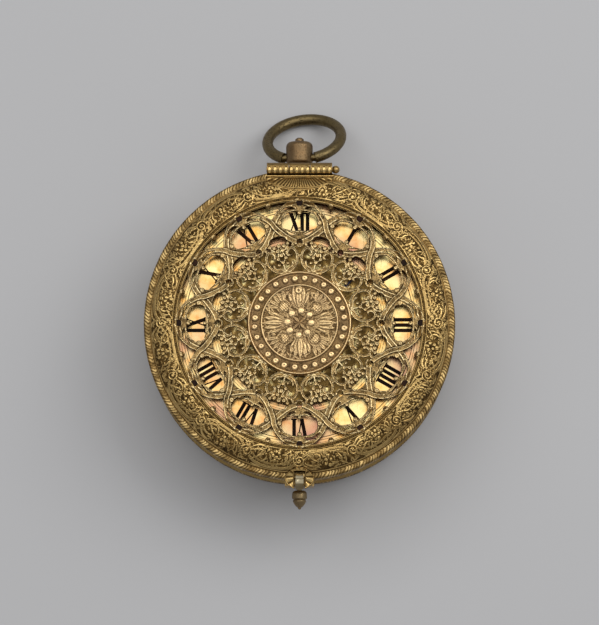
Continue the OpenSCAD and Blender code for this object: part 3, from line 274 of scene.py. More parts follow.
def rinceau(field, lap, cells, low, high, fillers):
    # Running scroll round a ring: spiral rosettes, straps that wave from edge to edge, leaves and berry clusters.
    # Each cell is the one before it turned over across the band, and every motif is shifted and sized a little.
    s = scroll
    step, middle, scale = lap / cells, (low + high) / 2, (high - low) / s["wide"]
    for cell in range(cells):
        side = 1 if cell % 2 == 0 else -1
        x0 = cell * step + dice.normal(0, s["shift"])

        def put(knots, jitter=s["jitter"]):
            knots = np.asarray(knots, float).reshape(-1, 2) + dice.normal(0, jitter, (1, 2))
            return np.stack([x0 + knots[:, 0] * step / s["long"], middle + side * knots[:, 1] * scale], -1)

        for knots, width, height in s["straps"]:
            field.ribbon(put(knots), width, height)
        for knots, width in s["leaves"]:
            field.leaf(put(knots), width * dice.uniform(0.9, 1.12), 0.22)
        for spot in s["berries"]:
            field.berry(*put([spot], 0.1)[0], s["berry"][0] * dice.uniform(0.85, 1.08), s["berry"][1])
        centre = put([(0, 0)])[0]
        field.coil(*centre, 1.15 * scale, 0.3, 200 * side, -560 * side, 0.4, 0.26)
        field.berry(*centre, 0.6, 0.28)
        field.coil(*put([(12.7, 1.35)])[0], 0.62, 0.15, 20 * side, 420 * side, 0.28, 0.22)
    fillGround(field, lap, low, high, fillers)


# Looks
def node(tree, kind, links, **settings):
    # Adds a node, sets its options, and fills its inputs from values or other sockets, by index or name
    made = tree.nodes.new("ShaderNode" + kind)
    for key, value in settings.items():
        setattr(made, key, value)
    for key, value in links.items():
        if isinstance(value, bpy.types.NodeSocket):
            tree.links.new(value, made.inputs[key])
        else:
            made.inputs[key].default_value = value
    return made


def ramp(tree, source, low, high, start=0.0, end=1.0):
    # Straight rise from start to end while the source runs from low to high, held outside
    links = {"Value": source, "From Min": low, "From Max": high, "To Min": start, "To Max": end}
    return node(tree, "MapRange", links).outputs[0]


def blend(tree, share, a, b):
    # Colour a where the share is 0, colour b where it is 1
    return node(tree, "Mix", {0: share, 6: a, 7: b}, data_type="RGBA").outputs[2]


# What a look has where it gives no value of its own; scales are in turns per metre
plainFinish = dict(relief=0.7, wornFrom=0.5, wornTo=0.95, dirt=0.5, tinted=0.3, mottle=300.0, stipple=0.4,
                   stippleScale=3500.0, scratches=0.3, rough=0.3, roughGrime=0.65)


def agedMetalGroup():
    # Aged metal: middle and bright tone by worn = ramp(relief + mottling), patches of tint, and grime over them by
    # dirt = (1 - relief) * amount + (stain + stipple dots) * shelter, where shelter is less on worn metal
    group = bpy.data.node_groups.new("agedMetal", "ShaderNodeTree")
    for label in ("bright", "middle", "grime", "tint"):
        group.interface.new_socket(label, in_out="INPUT", socket_type="NodeSocketColor")
    for label, value in plainFinish.items():
        group.interface.new_socket(label, in_out="INPUT", socket_type="NodeSocketFloat").default_value = value
    for label, kind in (("color", "Color"), ("roughness", "Float"), ("height", "Float")):
        group.interface.new_socket(label, in_out="OUTPUT", socket_type="NodeSocket" + kind)
    get, out = group.nodes.new("NodeGroupInput").outputs, group.nodes.new("NodeGroupOutput")

    def calc(how, a, b, clamp=False):
        return node(group, "Math", {0: a, 1: b}, operation=how, use_clamp=clamp).outputs[0]

    def noise(vector, scale, detail, **more):
        return node(group, "TexNoise", {"Vector": vector, "Scale": scale, "Detail": detail, **more}).outputs["Fac"]

    place = node(group, "TexCoord", {}).outputs["Object"]
    mottle = noise(place, get["mottle"], 4.0, Roughness=0.6)
    patch = noise(place, calc("MULTIPLY", get["mottle"], 0.23), 2.0)
    cells = node(group, "TexVoronoi", {"Vector": place, "Scale": get["stippleScale"]}, feature="F1").outputs["Distance"]
    lines = node(group, "Mapping", {"Vector": place, "Rotation": (0.3, 0.2, 0.9), "Scale": (2600.0, 160.0, 900.0)})
    scratch = ramp(group, noise(lines.outputs[0], 1.0, 1.0), 0.6, 0.72)
    uneven = calc("SUBTRACT", mottle, 0.5)
    worn = ramp(group, calc("ADD", get["relief"], calc("MULTIPLY", uneven, 0.5)), get["wornFrom"], get["wornTo"])
    shelter = calc("SUBTRACT", 1.0, calc("MULTIPLY", worn, 0.7))
    depth = calc("SUBTRACT", 1.0, get["relief"], True)
    dots = calc("MULTIPLY", ramp(group, cells, 0.0, 0.45, 1.0, 0.0), calc("MULTIPLY", get["stipple"], shelter))
    stain = calc("MULTIPLY", ramp(group, mottle, 0.45, 0.75), calc("MULTIPLY", get["dirt"], 0.55))
    dirt = calc("ADD", calc("MULTIPLY", depth, get["dirt"]), calc("MULTIPLY", stain, shelter), True)
    dirt = calc("ADD", dirt, calc("MULTIPLY", dots, 0.5), True)
    tinted = calc("MULTIPLY", ramp(group, patch, 0.45, 0.7), get["tinted"])
    toned = blend(group, tinted, blend(group, worn, get["middle"], get["bright"]), get["tint"])
    rough = calc("MULTIPLY", dirt, calc("SUBTRACT", get["roughGrime"], get["rough"]))
    rough = calc("ADD", calc("ADD", get["rough"], rough), calc("MULTIPLY", uneven, 0.18), True)
    height = calc("SUBTRACT", calc("MULTIPLY", mottle, 0.35), dots)
    group.links.new(blend(group, dirt, toned, get["grime"]), out.inputs["color"])
    group.links.new(rough, out.inputs["roughness"])
    group.links.new(calc("SUBTRACT", height, calc("MULTIPLY", scratch, get["scratches"])), out.inputs["height"])
    return group


agedMetal = agedMetalGroup()


def metalLook(name, bright, middle, grime, tint, marked=False, worn=(0.5, 0.95), bump=0.02, metallic=1.0, **own):
    # Principled metal fed by the aged metal group; where the piece is marked, the relief comes from its points
    look = bpy.data.materials.new(name)
    look.use_nodes = True
    tree = look.node_tree
    aged = tree.nodes.new("ShaderNodeGroup")
    aged.node_tree = agedMetal
    colours = dict(bright=(*bright, 1), middle=(*middle, 1), grime=(*grime, 1), tint=(*tint, 1))
    for key, value in {**plainFinish, "wornFrom": worn[0], "wornTo": worn[1], **own, **colours}.items():
        aged.inputs[key].default_value = value
    if marked:
        tree.links.new(node(tree, "Attribute", {}, attribute_name="relief").outputs["Fac"], aged.inputs["relief"])
    bumped = node(tree, "Bump", {"Height": aged.outputs["height"], "Distance": bump * mm, "Strength": 1.0})
    shader = tree.nodes["Principled BSDF"].inputs
    tree.links.new(bumped.outputs[0], shader["Normal"])
    tree.links.new(aged.outputs["color"], shader["Base Color"])
    tree.links.new(aged.outputs["roughness"], shader["Roughness"])
    shader["Metallic"].default_value = metallic
    shader["Specular IOR Level"].default_value = 0.5 if metallic > 0.5 else 0.12
    return look


looks = dict(
    chased=metalLook("chased_gilt", (0.93, 0.645, 0.25), (0.335, 0.193, 0.052), (0.05, 0.029, 0.01), (0.34, 0.18, 0.05),
                     True, (0.42, 0.85), dirt=0.92, tinted=0.4, mottle=620, stipple=1.0, stippleScale=3000, rough=0.18,
                     bump=0.09),
    rim=metalLook("rim_gilt", (0.80, 0.57, 0.24), (0.27, 0.165, 0.052), (0.05, 0.03, 0.011), (0.34, 0.18, 0.05),
                  True, (0.42, 0.95), dirt=0.85, tinted=0.35, mottle=520, stipple=0.7, stippleScale=2600, rough=0.24,
                  bump=0.05),
    strand=metalLook("strand_gilt", (1.0, 0.80, 0.43), (0.74, 0.49, 0.19), (0.045, 0.026, 0.012), (0.56, 0.34, 0.12),
                     True, (0.5, 0.85), dirt=0.82, tinted=0.35, mottle=620, stipple=1.0, stippleScale=3400, rough=0.22,
                     bump=0.07),
    medal=metalLook("medallion_gilt", (0.94, 0.675, 0.335), (0.42, 0.265, 0.108), (0.06, 0.034, 0.014),
                    (0.44, 0.28, 0.16), True, (0.45, 1.05), dirt=0.7, tinted=0.45, mottle=520, stipple=0.9,
                    stippleScale=3200, rough=0.27, bump=0.07),
    plain=metalLook("case_gilt", (0.86, 0.64, 0.28), (0.40, 0.255, 0.085), (0.06, 0.035, 0.012), (0.40, 0.21, 0.06),
                    relief=0.62, dirt=0.6, tinted=0.4, mottle=350, stipple=0.3, rough=0.27),
    brass=metalLook("movement_brass", (0.86, 0.66, 0.30), (0.55, 0.38, 0.15), (0.16, 0.10, 0.035), (0.60, 0.36, 0.14),
                    relief=0.85, dirt=0.45, mottle=220, stipple=0.1, scratches=0.6, rough=0.22, bump=0.008),
    knob=metalLook("pendant_bronze", (0.66, 0.47, 0.24), (0.22, 0.14, 0.066), (0.035, 0.024, 0.016),
                   (0.36, 0.22, 0.10), worn=(0.66, 0.84), dirt=1.0, tinted=0.7, mottle=620, stipple=0.7,
                   stippleScale=2200, bump=0.06),
    ring=metalLook("ring_bronze", (0.52, 0.40, 0.19), (0.22, 0.16, 0.068), (0.025, 0.018, 0.011), (0.30, 0.21, 0.09),
                   relief=0.58, dirt=0.8, tinted=0.4, mottle=520, stipple=0.9, stippleScale=1500, rough=0.26,
                   bump=0.09),
    acorn=metalLook("acorn_bronze", (0.72, 0.56, 0.30), (0.30, 0.21, 0.10), (0.035, 0.024, 0.015), (0.26, 0.16, 0.08),
                    relief=0.62, dirt=0.85, tinted=0.5, mottle=800, stipple=0.7, stippleScale=2200, bump=0.05),
    hook=metalLook("worn_hook", (0.98, 0.84, 0.54), (0.34, 0.26, 0.13), (0.06, 0.045, 0.03), (0.36, 0.27, 0.16),
                   True, (0.4, 0.9), dirt=0.6, tinted=0.5, mottle=500, stipple=0.3, scratches=0.8, rough=0.2),
    steel=metalLook("steel", (0.56, 0.54, 0.50), (0.34, 0.32, 0.29), (0.08, 0.065, 0.055), (0.30, 0.25, 0.20),
                    relief=0.8, tinted=0.4, mottle=420, stipple=0.2, scratches=0.8, rough=0.28, bump=0.01),
    blued=metalLook("blued_steel", (0.07, 0.075, 0.12), (0.035, 0.035, 0.055), (0.02, 0.018, 0.02),
                    (0.07, 0.045, 0.045), relief=0.8, tinted=0.6, stipple=0.1, scratches=0.5, rough=0.25, bump=0.008),
    bell=metalLook("bell_metal", (0.66, 0.60, 0.47), (0.42, 0.36, 0.25), (0.13, 0.10, 0.06), (0.45, 0.35, 0.22),
                   relief=0.8, tinted=0.5, mottle=160, stipple=0.1, scratches=0.7, rough=0.25, bump=0.008),
    # Near-black look: the real dark fill of the numerals and engraved circles, and also the painted shadow discs in the
    # hour bores
    fillAndShade=metalLook("numeral_fill_and_bore_shade", (0.055, 0.024, 0.012), (0.024, 0.011, 0.007), (0.007, 0.005, 0.003),
                  (0.10, 0.034, 0.013), relief=0.5, dirt=0.6, tinted=0.7, mottle=900, stipple=0.3, rough=0.8,
                  metallic=0.0),
    dial=metalLook("dial_gilt", (0.93, 0.76, 0.34), (0.74, 0.38, 0.09), (0.26, 0.12, 0.04), (0.42, 0.20, 0.15),
                   relief=0.78, worn=(0.70, 0.84), dirt=0.3, tinted=0.95, stipple=0.05, scratches=0.8, rough=0.17,
                   roughGrime=0.4, bump=0.012),
    # Engraved middle of the dial: its low parts are darkened, partly as patina in the cuts and partly as painted shade
    # for the grille standing above it
    dialCentre=metalLook("dial_centre_gilt", (1.0, 0.82, 0.36), (0.84, 0.52, 0.15), (0.05, 0.03, 0.012),
                         (0.46, 0.23, 0.08), True, (0.35, 0.8), dirt=0.6, tinted=0.4, mottle=420, rough=0.18,
                         bump=0.05),
)

# The look of each CAD node, by the slot it was packed with
slotLooks = dict(case_gilt="plain", grille_gilt="strand", dial_gilt="dial", pendant_brass="knob",
                 movement_brass="brass", bell_metal="bell", steel="steel", blued_steel="blued")
for name, part in cadNodes.items():
    slot = part.data.materials[0].name.split(".")[0] if part.data.materials else ""
    look = looks["ring" if name == "pendant_ring" else slotLooks.get(slot, "brass")]
    part.data.materials.clear()
    part.data.materials.append(look)
    print("node", name, slot, look.name)


# Shoulder of the covers: carved field between two lines, and a roped border on the flat lip
shoulder = dict(columns=2304, backColumns=1152, thirds=3, curveRows=58, lipRows=11, sink=0.16, proud=0.04, meanR=34.3,
                cells=16, carvedIn=31.8, carvedOut=37.0, fillers=5000, punchPitch=0.42, punchDeep=0.07, ropePitch=0.62,
                lines=((37.08, 0.13, 0.2, 0), (31.68, 0.12, 0.2, 0), (31.34, 0.15, 0.2, 0.55), (30.88, 0.2, 0.22, 0)),
                fullRelief=0.22, lipFrom=31.7, lipWorn=0.72, underStep=8,
                hingeHalf=8.4, hingeFrom=33.3, hingeBow=3.1, catchAt=-38.75, catchHalf=3.6, catchTall=2.6)


def shoulderSkin(name, body, front, columns):
    # Closed skin over a cover's shoulder. Outline: quarter ellipse (32.2 + 5 cos e, 27.4 + 3.2 sin e), then a flat lip.
    # Each outer point moves along the outline's normal by the relief; the inner line lies just under the metal.
    w, s = watch, shoulder
    e = np.linspace(0, pi / 2, s["curveRows"])
    wide, tall = w["shoulderOut"] - w["shoulderIn"], w["shoulderTop"] - w["shoulderFoot"]
    lip = np.linspace(w["shoulderIn"], w["lipR"] + 0.04, s["lipRows"] + 1)[1:]
    rad = np.concatenate([w["shoulderIn"] + wide * np.cos(e), lip])
    up = np.concatenate([w["shoulderFoot"] + tall * np.sin(e), np.full(s["lipRows"], w["shoulderTop"])])
    outR = np.concatenate([tall * np.cos(e), np.zeros(s["lipRows"])])
    outZ = np.concatenate([wide * np.sin(e), np.full(s["lipRows"], wide)])
    long = np.hypot(outR, outZ)
    outR, outZ = outR / long, outZ / long
    angle, lap = around(columns), 2 * pi * s["meanR"]
    along = np.broadcast_to((angle * s["meanR"])[:, None], (columns, len(rad)))
    field = Relief(along, np.broadcast_to(rad, along.shape), lap)
    rinceau(field, lap, s["cells"], s["carvedIn"], s["carvedOut"], s["fillers"])
    pitch = s["punchPitch"]
    punch = (np.abs(np.sin(pi * along / pitch + 1.9 * np.sin(rad * 5)))
             * np.abs(np.sin(pi * rad / pitch + 1.3 * np.sin(along * 2.1))))
    inside = (rad > s["carvedIn"] - 0.05) & (rad < s["carvedOut"] + 0.05)
    height = np.maximum(field.height.reshape(along.shape), s["punchDeep"] * punch) * inside
    twist = 0.5 + 0.5 * np.cos(2 * pi * along / s["ropePitch"] + (rad - 31.5) * 5)
    for middle, half, rise, roped in s["lines"]:
        height = np.maximum(height, rise * round01(rad, middle, half) * (1 - roped * twist))
    if front:
        x, y = np.cos(angle)[:, None] * rad, np.sin(angle)[:, None] * rad
        atHinge = (np.abs(x) < s["hingeHalf"]) & (y > s["hingeFrom"] + s["hingeBow"] * (x / s["hingeHalf"]) ** 2)
        atCatch = (np.abs(x) / s["catchHalf"]) ** 2 + ((y - s["catchAt"]) / s["catchTall"]) ** 2 < 1
        height = np.where(atHinge | atCatch, 0, height)
    mark = (0.2 + 0.8 * unit(height / s["fullRelief"])) * np.where(rad < s["lipFrom"], s["lipWorn"], 1.0)
    proud, under = height + s["proud"], slice(None, None, s["underStep"])
    top = ringPoints(angle, rad + proud * outR, up + proud * outZ)
    low = ringPoints(angle, (rad - s["sink"] * outR)[::-1][under], (up - s["sink"] * outZ)[::-1][under])
    grid = np.concatenate([top, low], 1)
    marks = np.concatenate([mark, np.zeros(low.shape[:2])], 1)
    if not front:  # the back's shoulder is the same one turned over and pressed flatter
        turned = (w["shoulderTop"] - grid[..., 2]) * w["backJoint"] / (w["shoulderTop"] - w["joint"])
        grid[..., 2] = np.maximum(turned, 0.01)
    # Each third of the ring is a piece of its own, closed by a flat face at both ends
    length, cols = columns // s["thirds"], grid.shape[1]
    for third in range(s["thirds"]):
        rows = (np.arange(length + 1) + third * length) % columns
        ends = np.array([np.arange(cols)[::-1], np.arange(cols) + length * cols])
        faces = [gridFaces(length + 1, cols, False, True, flip=not front), ends if front else ends[:, ::-1]]
        addPiece("%s_%d" % (name, third + 1), grid[rows], faces, "chased", body, marks[rows], sharp=80)


shoulderSkin("cover_shoulder_relief", "front_cover", True, shoulder["columns"])
shoulderSkin("back_shoulder_relief", "back_cover", False, shoulder["backColumns"])


# Roped mouldings
rope = dict(columns=1440, pitch=0.85, deep=0.095, slant=0.8, fullness=0.6, rim=38.95, round=0.5, inward=0.35)


def ropedRing(name, body, low, high, foot, fold=None):
    # Moulding with leaf strokes: a closed loop of (radius, height, carved) up the outer face, over its rounded top and
    # back inside the metal, whose carved points stand out by deep * |sin(pi * (arc / pitch + slant))|^fullness.
    # The slant makes a V about the moulding's middle or the point named by fold, and the strokes are uneven, as by hand.
    rim, r, bend = rope["rim"], rope["round"], np.linspace(0, pi / 2, 7)[1:]
    outline = [(rim, z, 1.0 if low + 0.2 < z < high - 0.3 else 0.0) for z in np.linspace(low, high - r, 9)]
    outline += [(rim - r + r * cos(b), high - r + r * sin(b), 0.8) for b in bend]
    outline += [(x, high, 0.7 if x > foot + 0.35 else 0.0) for x in np.linspace(rim - r, foot, 7)[1:]]
    rad, up, carve = np.array(outline + [(foot, high - rope["inward"], 0.0), (rim - rope["inward"], low + 0.05, 0.0)]).T
    angle = around(rope["columns"])
    reach = np.cumsum(np.hypot(np.diff(rad, prepend=rad[0]), np.diff(up, prepend=up[0])))
    slant = np.abs(reach - (reach[carve > 0].mean() if fold is None else reach[fold])) * rope["slant"]
    laps = round(2 * pi * watch["caseR"] / rope["pitch"])
    uneven = (0.16 * np.sin(37 * angle + 2 * np.sin(5 * angle)) + 0.12 * np.sin(101 * angle))[:, None]
    wave = np.abs(np.sin(pi * (angle[:, None] * laps / (2 * pi) + slant / rope["pitch"] + uneven))) ** rope["fullness"]
    wave = wave * (0.82 + 0.18 * np.sin(53 * angle + 2 * np.sin(11 * angle)))[:, None]
    height = rope["deep"] * wave * carve
    away = np.stack([rad, up], -1) - (rad.mean(), up.mean())
    away /= np.linalg.norm(away, axis=1, keepdims=True)
    points = ringPoints(angle, rad + height * away[:, 0], up + height * away[:, 1])
    addPiece(name, points, [gridFaces(len(angle), len(rad), True, True)], "rim", body,
             np.where(carve > 0, 0.05 + 0.85 * wave, 0.5 + 0 * wave))


ropedRing("cover_rope_rim", "front_cover", 25.12, 27.42, 37.3, 17)
ropedRing("band_front_moulding", "case", 23.05, 24.95, 38.3)
ropedRing("band_back_moulding", "case", 5.55, 7.45, 38.3)
ropedRing("back_rope_rim", "back_cover", 3.55, 5.4, 38.3)


# Chased skin of the case band, cut out round the pierced lights and round the blocks that stand on the band
band = dict(columns=1008, rows=66, wall=38.2, low=7.5, high=23.0, proud=0.05, sink=0.3, panels=14, middle=15.0,
            fillers=5200, lights=((3.4, 0, 1.5), (0, 3.6, 1.5), (4.4, 4.0, 0.9)), diamond=2.12,
            blocks=((-1, 3.65, 16.6, 30), (1, 8.2, 21.0, 30), (1, 6.0, 0, 9.0)), bossR=3.2, margin=0.06,
            openingLine=(0.28, 0.13), openingRise=0.26, edgeLine=(0.35, 0.15), edgeRise=0.22, fade=0.12,
            fullRelief=0.24, shift=0.08, reach=0.2)


def bandOpen(along, z):
    # Distance inside the nearest opening: a panel's round lights, the diamond between them, or a block's place
    b = band
    pitch = 2 * pi * b["wall"] / b["panels"]
    u, w = np.abs(along % pitch - pitch / 2), np.abs(z - b["middle"])
    angle = along / b["wall"] - pi / 2
    x, y = b["wall"] * np.cos(angle), b["wall"] * np.sin(angle)
    cuts = [(b["diamond"] - u - w) / sqrt(2)] + [r - np.hypot(u - a, w - h) for a, h, r in b["lights"]]
    cuts += [np.where(y * side > 0, np.minimum(half - np.abs(x), np.minimum(z - low, high - z)), -9)
             for side, half, low, high in b["blocks"]]
    cuts.append(np.where(y > 0, b["bossR"] - np.hypot(x, z - b["middle"]), -9))
    return np.max(cuts, 0) + b["margin"]


def bandMotifs(field, at, up):
    # Half a panel's ornament, above or below the middle: leaves and coils on the post, a strap over the lights
    middle = band["middle"]
    spot = lambda x, y: (at + x, middle + up * y)
    field.leaf([spot(0, 0.5), spot(0.2, 2.6), spot(0, 4.4)], 0.9, 0.24)
    for side in (-1, 1):
        field.coil(at + side * 1.45, middle + up * 2.4, 1.35, 0.3, 90 * (1 + side), 500 * side * up, 0.5, 0.26)
        field.leaf([spot(side * 0.3, 4.6), spot(side * 1.4, 5.2), spot(side * 1.9, 6.3)], 0.8, 0.24)
        field.ribbon([spot(side * x, y) for x, y in ((0.2, 5.6), (2.6, 6.9), (5.4, 6.3), (8.5, 6.9))], 0.62, 0.24)
        field.leaf([spot(side * 3.0, 6.2), spot(side * 4.0, 5.9), spot(side * 5.2, 5.75)], 0.6, 0.22)
        field.berry(*spot(side * 2.4, 0.3 + 0.2 * up), 0.9, 0.26)
    field.berry(*spot(0, 5.5), 0.8, 0.28)


def bandSkin():
    # Sheet over a grid of (way round the wall, height): radius = wall + proud + relief, with a raised border of
    # openingRise * hump(distance to the opening) and of edgeRise * hump(distance to the edge)
    b = band
    lap = 2 * pi * b["wall"]
    along, z = np.meshgrid(np.arange(b["columns"]) * lap / b["columns"],
                           np.linspace(b["low"], b["high"], b["rows"]), indexing="ij")
    field = Relief(along, z, lap)
    for panel in range(b["panels"]):
        at = panel * lap / b["panels"] + dice.normal(0, b["shift"])
        bandMotifs(field, at, -1)
        bandMotifs(field, at, 1)
    fillGround(field, lap, b["low"], b["high"], b["fillers"])
    solid = bandOpen(along, z)
    along, z = pulled(along, z, solid, bandOpen, b["reach"])
    deep, edge = np.clip(-solid, 0, 9), np.minimum(z - b["low"], b["high"] - z)
    height = np.maximum(field.height.reshape(solid.shape), b["openingRise"] * hump(deep, *b["openingLine"]))
    height = np.maximum(height, b["edgeRise"] * hump(edge, *b["edgeLine"])) * unit(deep / b["fade"])
    angle = along / b["wall"] - pi / 2
    wrap = lambda r: np.stack([np.cos(angle) * r, np.sin(angle) * r, z], -1)
    top, low = wrap(b["wall"] + b["proud"] + height), wrap(b["wall"] - b["sink"] + 0 * height)
    mark = unit(0.15 + 0.85 * height / b["fullRelief"])
    half = b["columns"] // 2
    for side in range(2):
        rows = (np.arange(half + 1) + side * half) % b["columns"]
        points, faces, marks = pierced(top[rows], low[rows], solid[rows], mark[rows])
        addPiece("band_relief_%d" % (side + 1), points, faces, "chased", "case", marks, sharp=60)


bandSkin()


# Front hinge: knuckles with an egg-and-dart band, a fluted fan on the shoulder and a bright lip between them
hinge = dict(axisY=39.1, axisZ=27.0, knuckleR=1.7, bore=0.4, third=16.4 / 6, gap=0.12, turns=72, lines=60,
             eggPitch=1.37, bandAt=105, bandHalf=38, fanTop=37.05, fanDeep=3.6, fanHalf=8.35, fanRise=0.26,
             fanFloor=28.72, fanLines=58, fanPlain=0.79, fanGrid=(150, 44),
             lipWide=0.42, lipAt=28.6, lipGrid=(60, 14), eggRise=0.14)


def knuckle(start, stop):
    # Thin sleeve along X; radius = 1.67 + eggRise * egg, where an egg is an upright oval between two darts.
    # Also gives how worn each point is.
    h = hinge
    turn, x = around(h["turns"]), np.linspace(start, stop, h["lines"])
    across = (turn[:, None] - radians(h["bandAt"])) / radians(h["bandHalf"])
    phase = np.abs(((x / h["eggPitch"]) % 1) - 0.5) * 2
    egg = unit(1 - (phase / 0.72) ** 2 - np.clip(np.abs(across), 0, 3) ** 2 * 0.9) ** 0.5
    dart = unit(1 - ((1 - phase) / 0.16) ** 2 - across ** 2) ** 0.5
    mark = np.maximum(np.maximum(egg, dart * 0.8), hump(np.abs(across), 1.15, 0.1) * 0.8)
    mark = np.where(np.abs(across) < 1.3, mark, 0.55)
    bore = np.full((len(turn), 2), h["knuckleR"] - h["bore"])
    radius = np.concatenate([h["knuckleR"] - 0.03 + h["eggRise"] * mark, bore], 1)
    x = np.broadcast_to(np.concatenate([x, [stop, start]]), radius.shape)
    grid = np.stack([x, h["axisY"] + radius * np.cos(turn)[:, None], h["axisZ"] + radius * np.sin(turn)[:, None]], -1)
    faces = gridFaces(len(turn), radius.shape[1], True, True, flip=True)
    return (grid.reshape(-1, 3), faces, np.empty((0, 3), int)), np.concatenate([mark, 0 * bore], 1).ravel()


def hingeKnuckles():
    # The outer thirds of the barrel belong to the case, the middle one to the cover
    third, gap, seam = hinge["third"], hinge["gap"], 0.02
    left, right = knuckle(-3 * third, -third - seam), knuckle(third + seam, 3 * third)
    middle = knuckle(-third + gap + seam, third - gap - seam)
    for name, body, chosen in (("hinge_case_knuckles", "case", (left, right)),
                               ("hinge_cover_knuckle", "front_cover", (middle,))):
        points, quads, _ = gather([part for part, mark in chosen])
        marks = np.concatenate([mark for part, mark in chosen])
        addPiece(name, points, [quads], "chased", body, marks, sharp=50)


hingeKnuckles()


def shoulderLevel(r):
    # Height of the cover's shoulder at a radius
    w = watch
    share = unit((r - w["shoulderIn"]) / (w["shoulderOut"] - w["shoulderIn"]))
    return w["shoulderFoot"] + (w["shoulderTop"] - w["shoulderFoot"]) * np.sqrt(1 - share ** 2)


def sheetPiece(name, x, y, z, mark, floor):
    # Closed slab on the cover under a grid of (x, y, z): the same grid again at the floor heights, and a wall round it
    rows, cols = x.shape
    top, low = np.stack([x, y, z], -1).reshape(-1, 3), np.stack([x, y, floor], -1).reshape(-1, 3)
    n = rows * cols
    index = np.arange(n).reshape(rows, cols)
    loop = np.concatenate([index[0, :-1], index[:-1, -1], index[-1, :0:-1], index[:0:-1, 0]])
    after = np.roll(loop, -1)
    a, b, c = top[loop[0]], top[loop[cols // 2]], top[loop[cols + rows // 2]]
    clockwise = np.cross(b[:2] - a[:2], c[:2] - b[:2]) < 0
    face = gridFaces(rows, cols, flip=not clockwise)
    wall = np.stack([loop, loop + n, after + n, after], -1)
    faces = [face, face[:, ::-1] + n, wall[:, ::-1] if clockwise else wall]
    addPiece(name, np.vstack([top, low]), faces, "chased", "front_cover",
             np.concatenate([mark.ravel(), np.zeros(n)]))


def hingeFan():
    # Fluted half-round leaf under the hinge: y = top - v * deep * sqrt(1 - u^2), flutes run out from above its middle
    h = hinge
    lines, rows = h["fanGrid"]
    u, v = np.meshgrid(np.linspace(-0.995, 0.995, lines), np.linspace(0, 1, rows), indexing="ij")
    x, y = u * h["fanHalf"], h["fanTop"] - v * (h["fanDeep"] * np.sqrt(1 - u ** 2) + 0.12)
    base = np.maximum(shoulderLevel(np.hypot(x, y)), h["fanFloor"]) + 0.03
    lean, inside = np.arctan2(x, h["fanTop"] + 3.0 - y), v < h["fanPlain"]
    flute = np.abs(np.sin(lean * h["fanLines"] / 2)) ** 2 * unit((v - 0.06) / 0.1)
    border = hump(v, 0.95, 0.035) + 0.7 * hump(v, 0.83, 0.03) + 0.4 * hump(v, 0.02, 0.02)
    height = h["fanRise"] * unit(0.35 * np.sin(pi * v) * inside + 0.45 * flute * inside + border)
    sheetPiece("hinge_fan", x, y, base + height, unit(0.3 + 0.45 * flute * inside + border), base - 0.5)


def hingeLip():
    # Half-round bar between the fan and the knuckles: height = lipWide * sqrt(sin(pi * v))
    h = hinge
    lines, rows = h["lipGrid"]
    u, v = np.meshgrid(np.linspace(-1, 1, lines), np.linspace(0, 1, rows), indexing="ij")
    height, base = h["lipWide"] * np.sin(v * pi) ** 0.5, np.full_like(u, h["lipAt"])
    sheetPiece("hinge_lip", u * (h["fanHalf"] + 0.1), h["fanTop"] - 0.02 + v * h["lipWide"], base + height,
               unit(height / 0.3), base - 0.6)


hingeFan()
hingeLip()


# Catch: a fluted leaf bent over the rim, slotted for the tongue, and the acorn that is pushed
catch = dict(middle=-38.75, half=3.7, tall=2.72, slotHalf=1.3, slot=(-42.0, -36.9), deep=1.0,
             grid=(110, 82), gridHalf=3.85, gridFrom=-41.6, gridTo=-35.9, reach=0.14, flutes=5.5,
             fall=[(-41.6, 27.35), (-40.2, 27.55), (-39.0, 27.75), (-38.0, 28.05), (-37.2, 28.6), (-36.6, 29.3),
                   (-36.0, 29.75)],
             tongue=[(-41.4, 26.2), (-41.35, 27.0), (-40.9, 27.6), (-40.0, 27.95), (-39.0, 28.15), (-38.35, 28.6),
                     (-37.9, 29.15)], tongueHalf=1.0, tongueThick=0.35, tongueBands=0.14, axisZ=20.0, acornTurns=40,
             acorn=[(0, 38.9), (0.45, 38.9), (0.45, 39.8), (0.62, 39.85), (0.62, 41.28), (1.15, 41.32), (1.4, 41.42),
                    (1.62, 41.58), (1.8, 41.85), (1.88, 42.3), (1.9, 42.9), (1.86, 43.3), (1.62, 43.42), (1.5, 43.6),
                    (1.64, 43.8), (1.68, 44.0), (1.52, 44.4), (1.22, 44.85), (0.9, 45.25), (0.5, 45.55), (0.36, 45.62),
                    (0.4, 45.75), (0.34, 45.92), (0.18, 46.02), (0, 46.05)])


def catchShape(x, y):
    # Distance to the leaf's rounded outline, less its slot
    c = catch
    leaf = 2.2 * ((np.abs(x) / c["half"]) ** 1.7 + (np.abs(y - c["middle"]) / c["tall"]) ** 1.9 - 1)
    slot = np.maximum(np.abs(x) - c["slotHalf"], np.maximum(c["slot"][0] - y, y - c["slot"][1]))
    return np.maximum(leaf, -slot)


def catchLeaf():
    # Sheet that falls over the rim, with a border and flutes |sin(flutes * a)|^0.8 that fan out from its middle
    c = catch
    lines, rows = c["grid"]
    x, y = np.meshgrid(np.linspace(-c["gridHalf"], c["gridHalf"], lines),
                       np.linspace(c["gridFrom"], c["gridTo"], rows), indexing="ij")
    solid = catchShape(x, y)
    x, y = pulled(x, y, solid, catchShape, c["reach"])
    deep, fanned = np.clip(-solid, 0, 9), np.arctan2(y - c["middle"] - 0.4, np.abs(x) - 0.2)
    border, flute = hump(deep, 0.16, 0.12), np.abs(np.sin(fanned * c["flutes"])) ** 0.8 * (deep > 0.3)
    level = np.interp(y, *np.array(c["fall"]).T)
    top = np.stack([x, y, level + 0.22 * border + 0.2 * flute - 0.15 * (deep < 0.05)], -1)
    points, faces, marks = pierced(top, np.stack([x, y, level - c["deep"]], -1), solid,
                                   unit(0.15 + 0.85 * np.maximum(border, flute)))
    addPiece("catch_leaf", points, faces, "chased", "front_cover", marks, sharp=50)


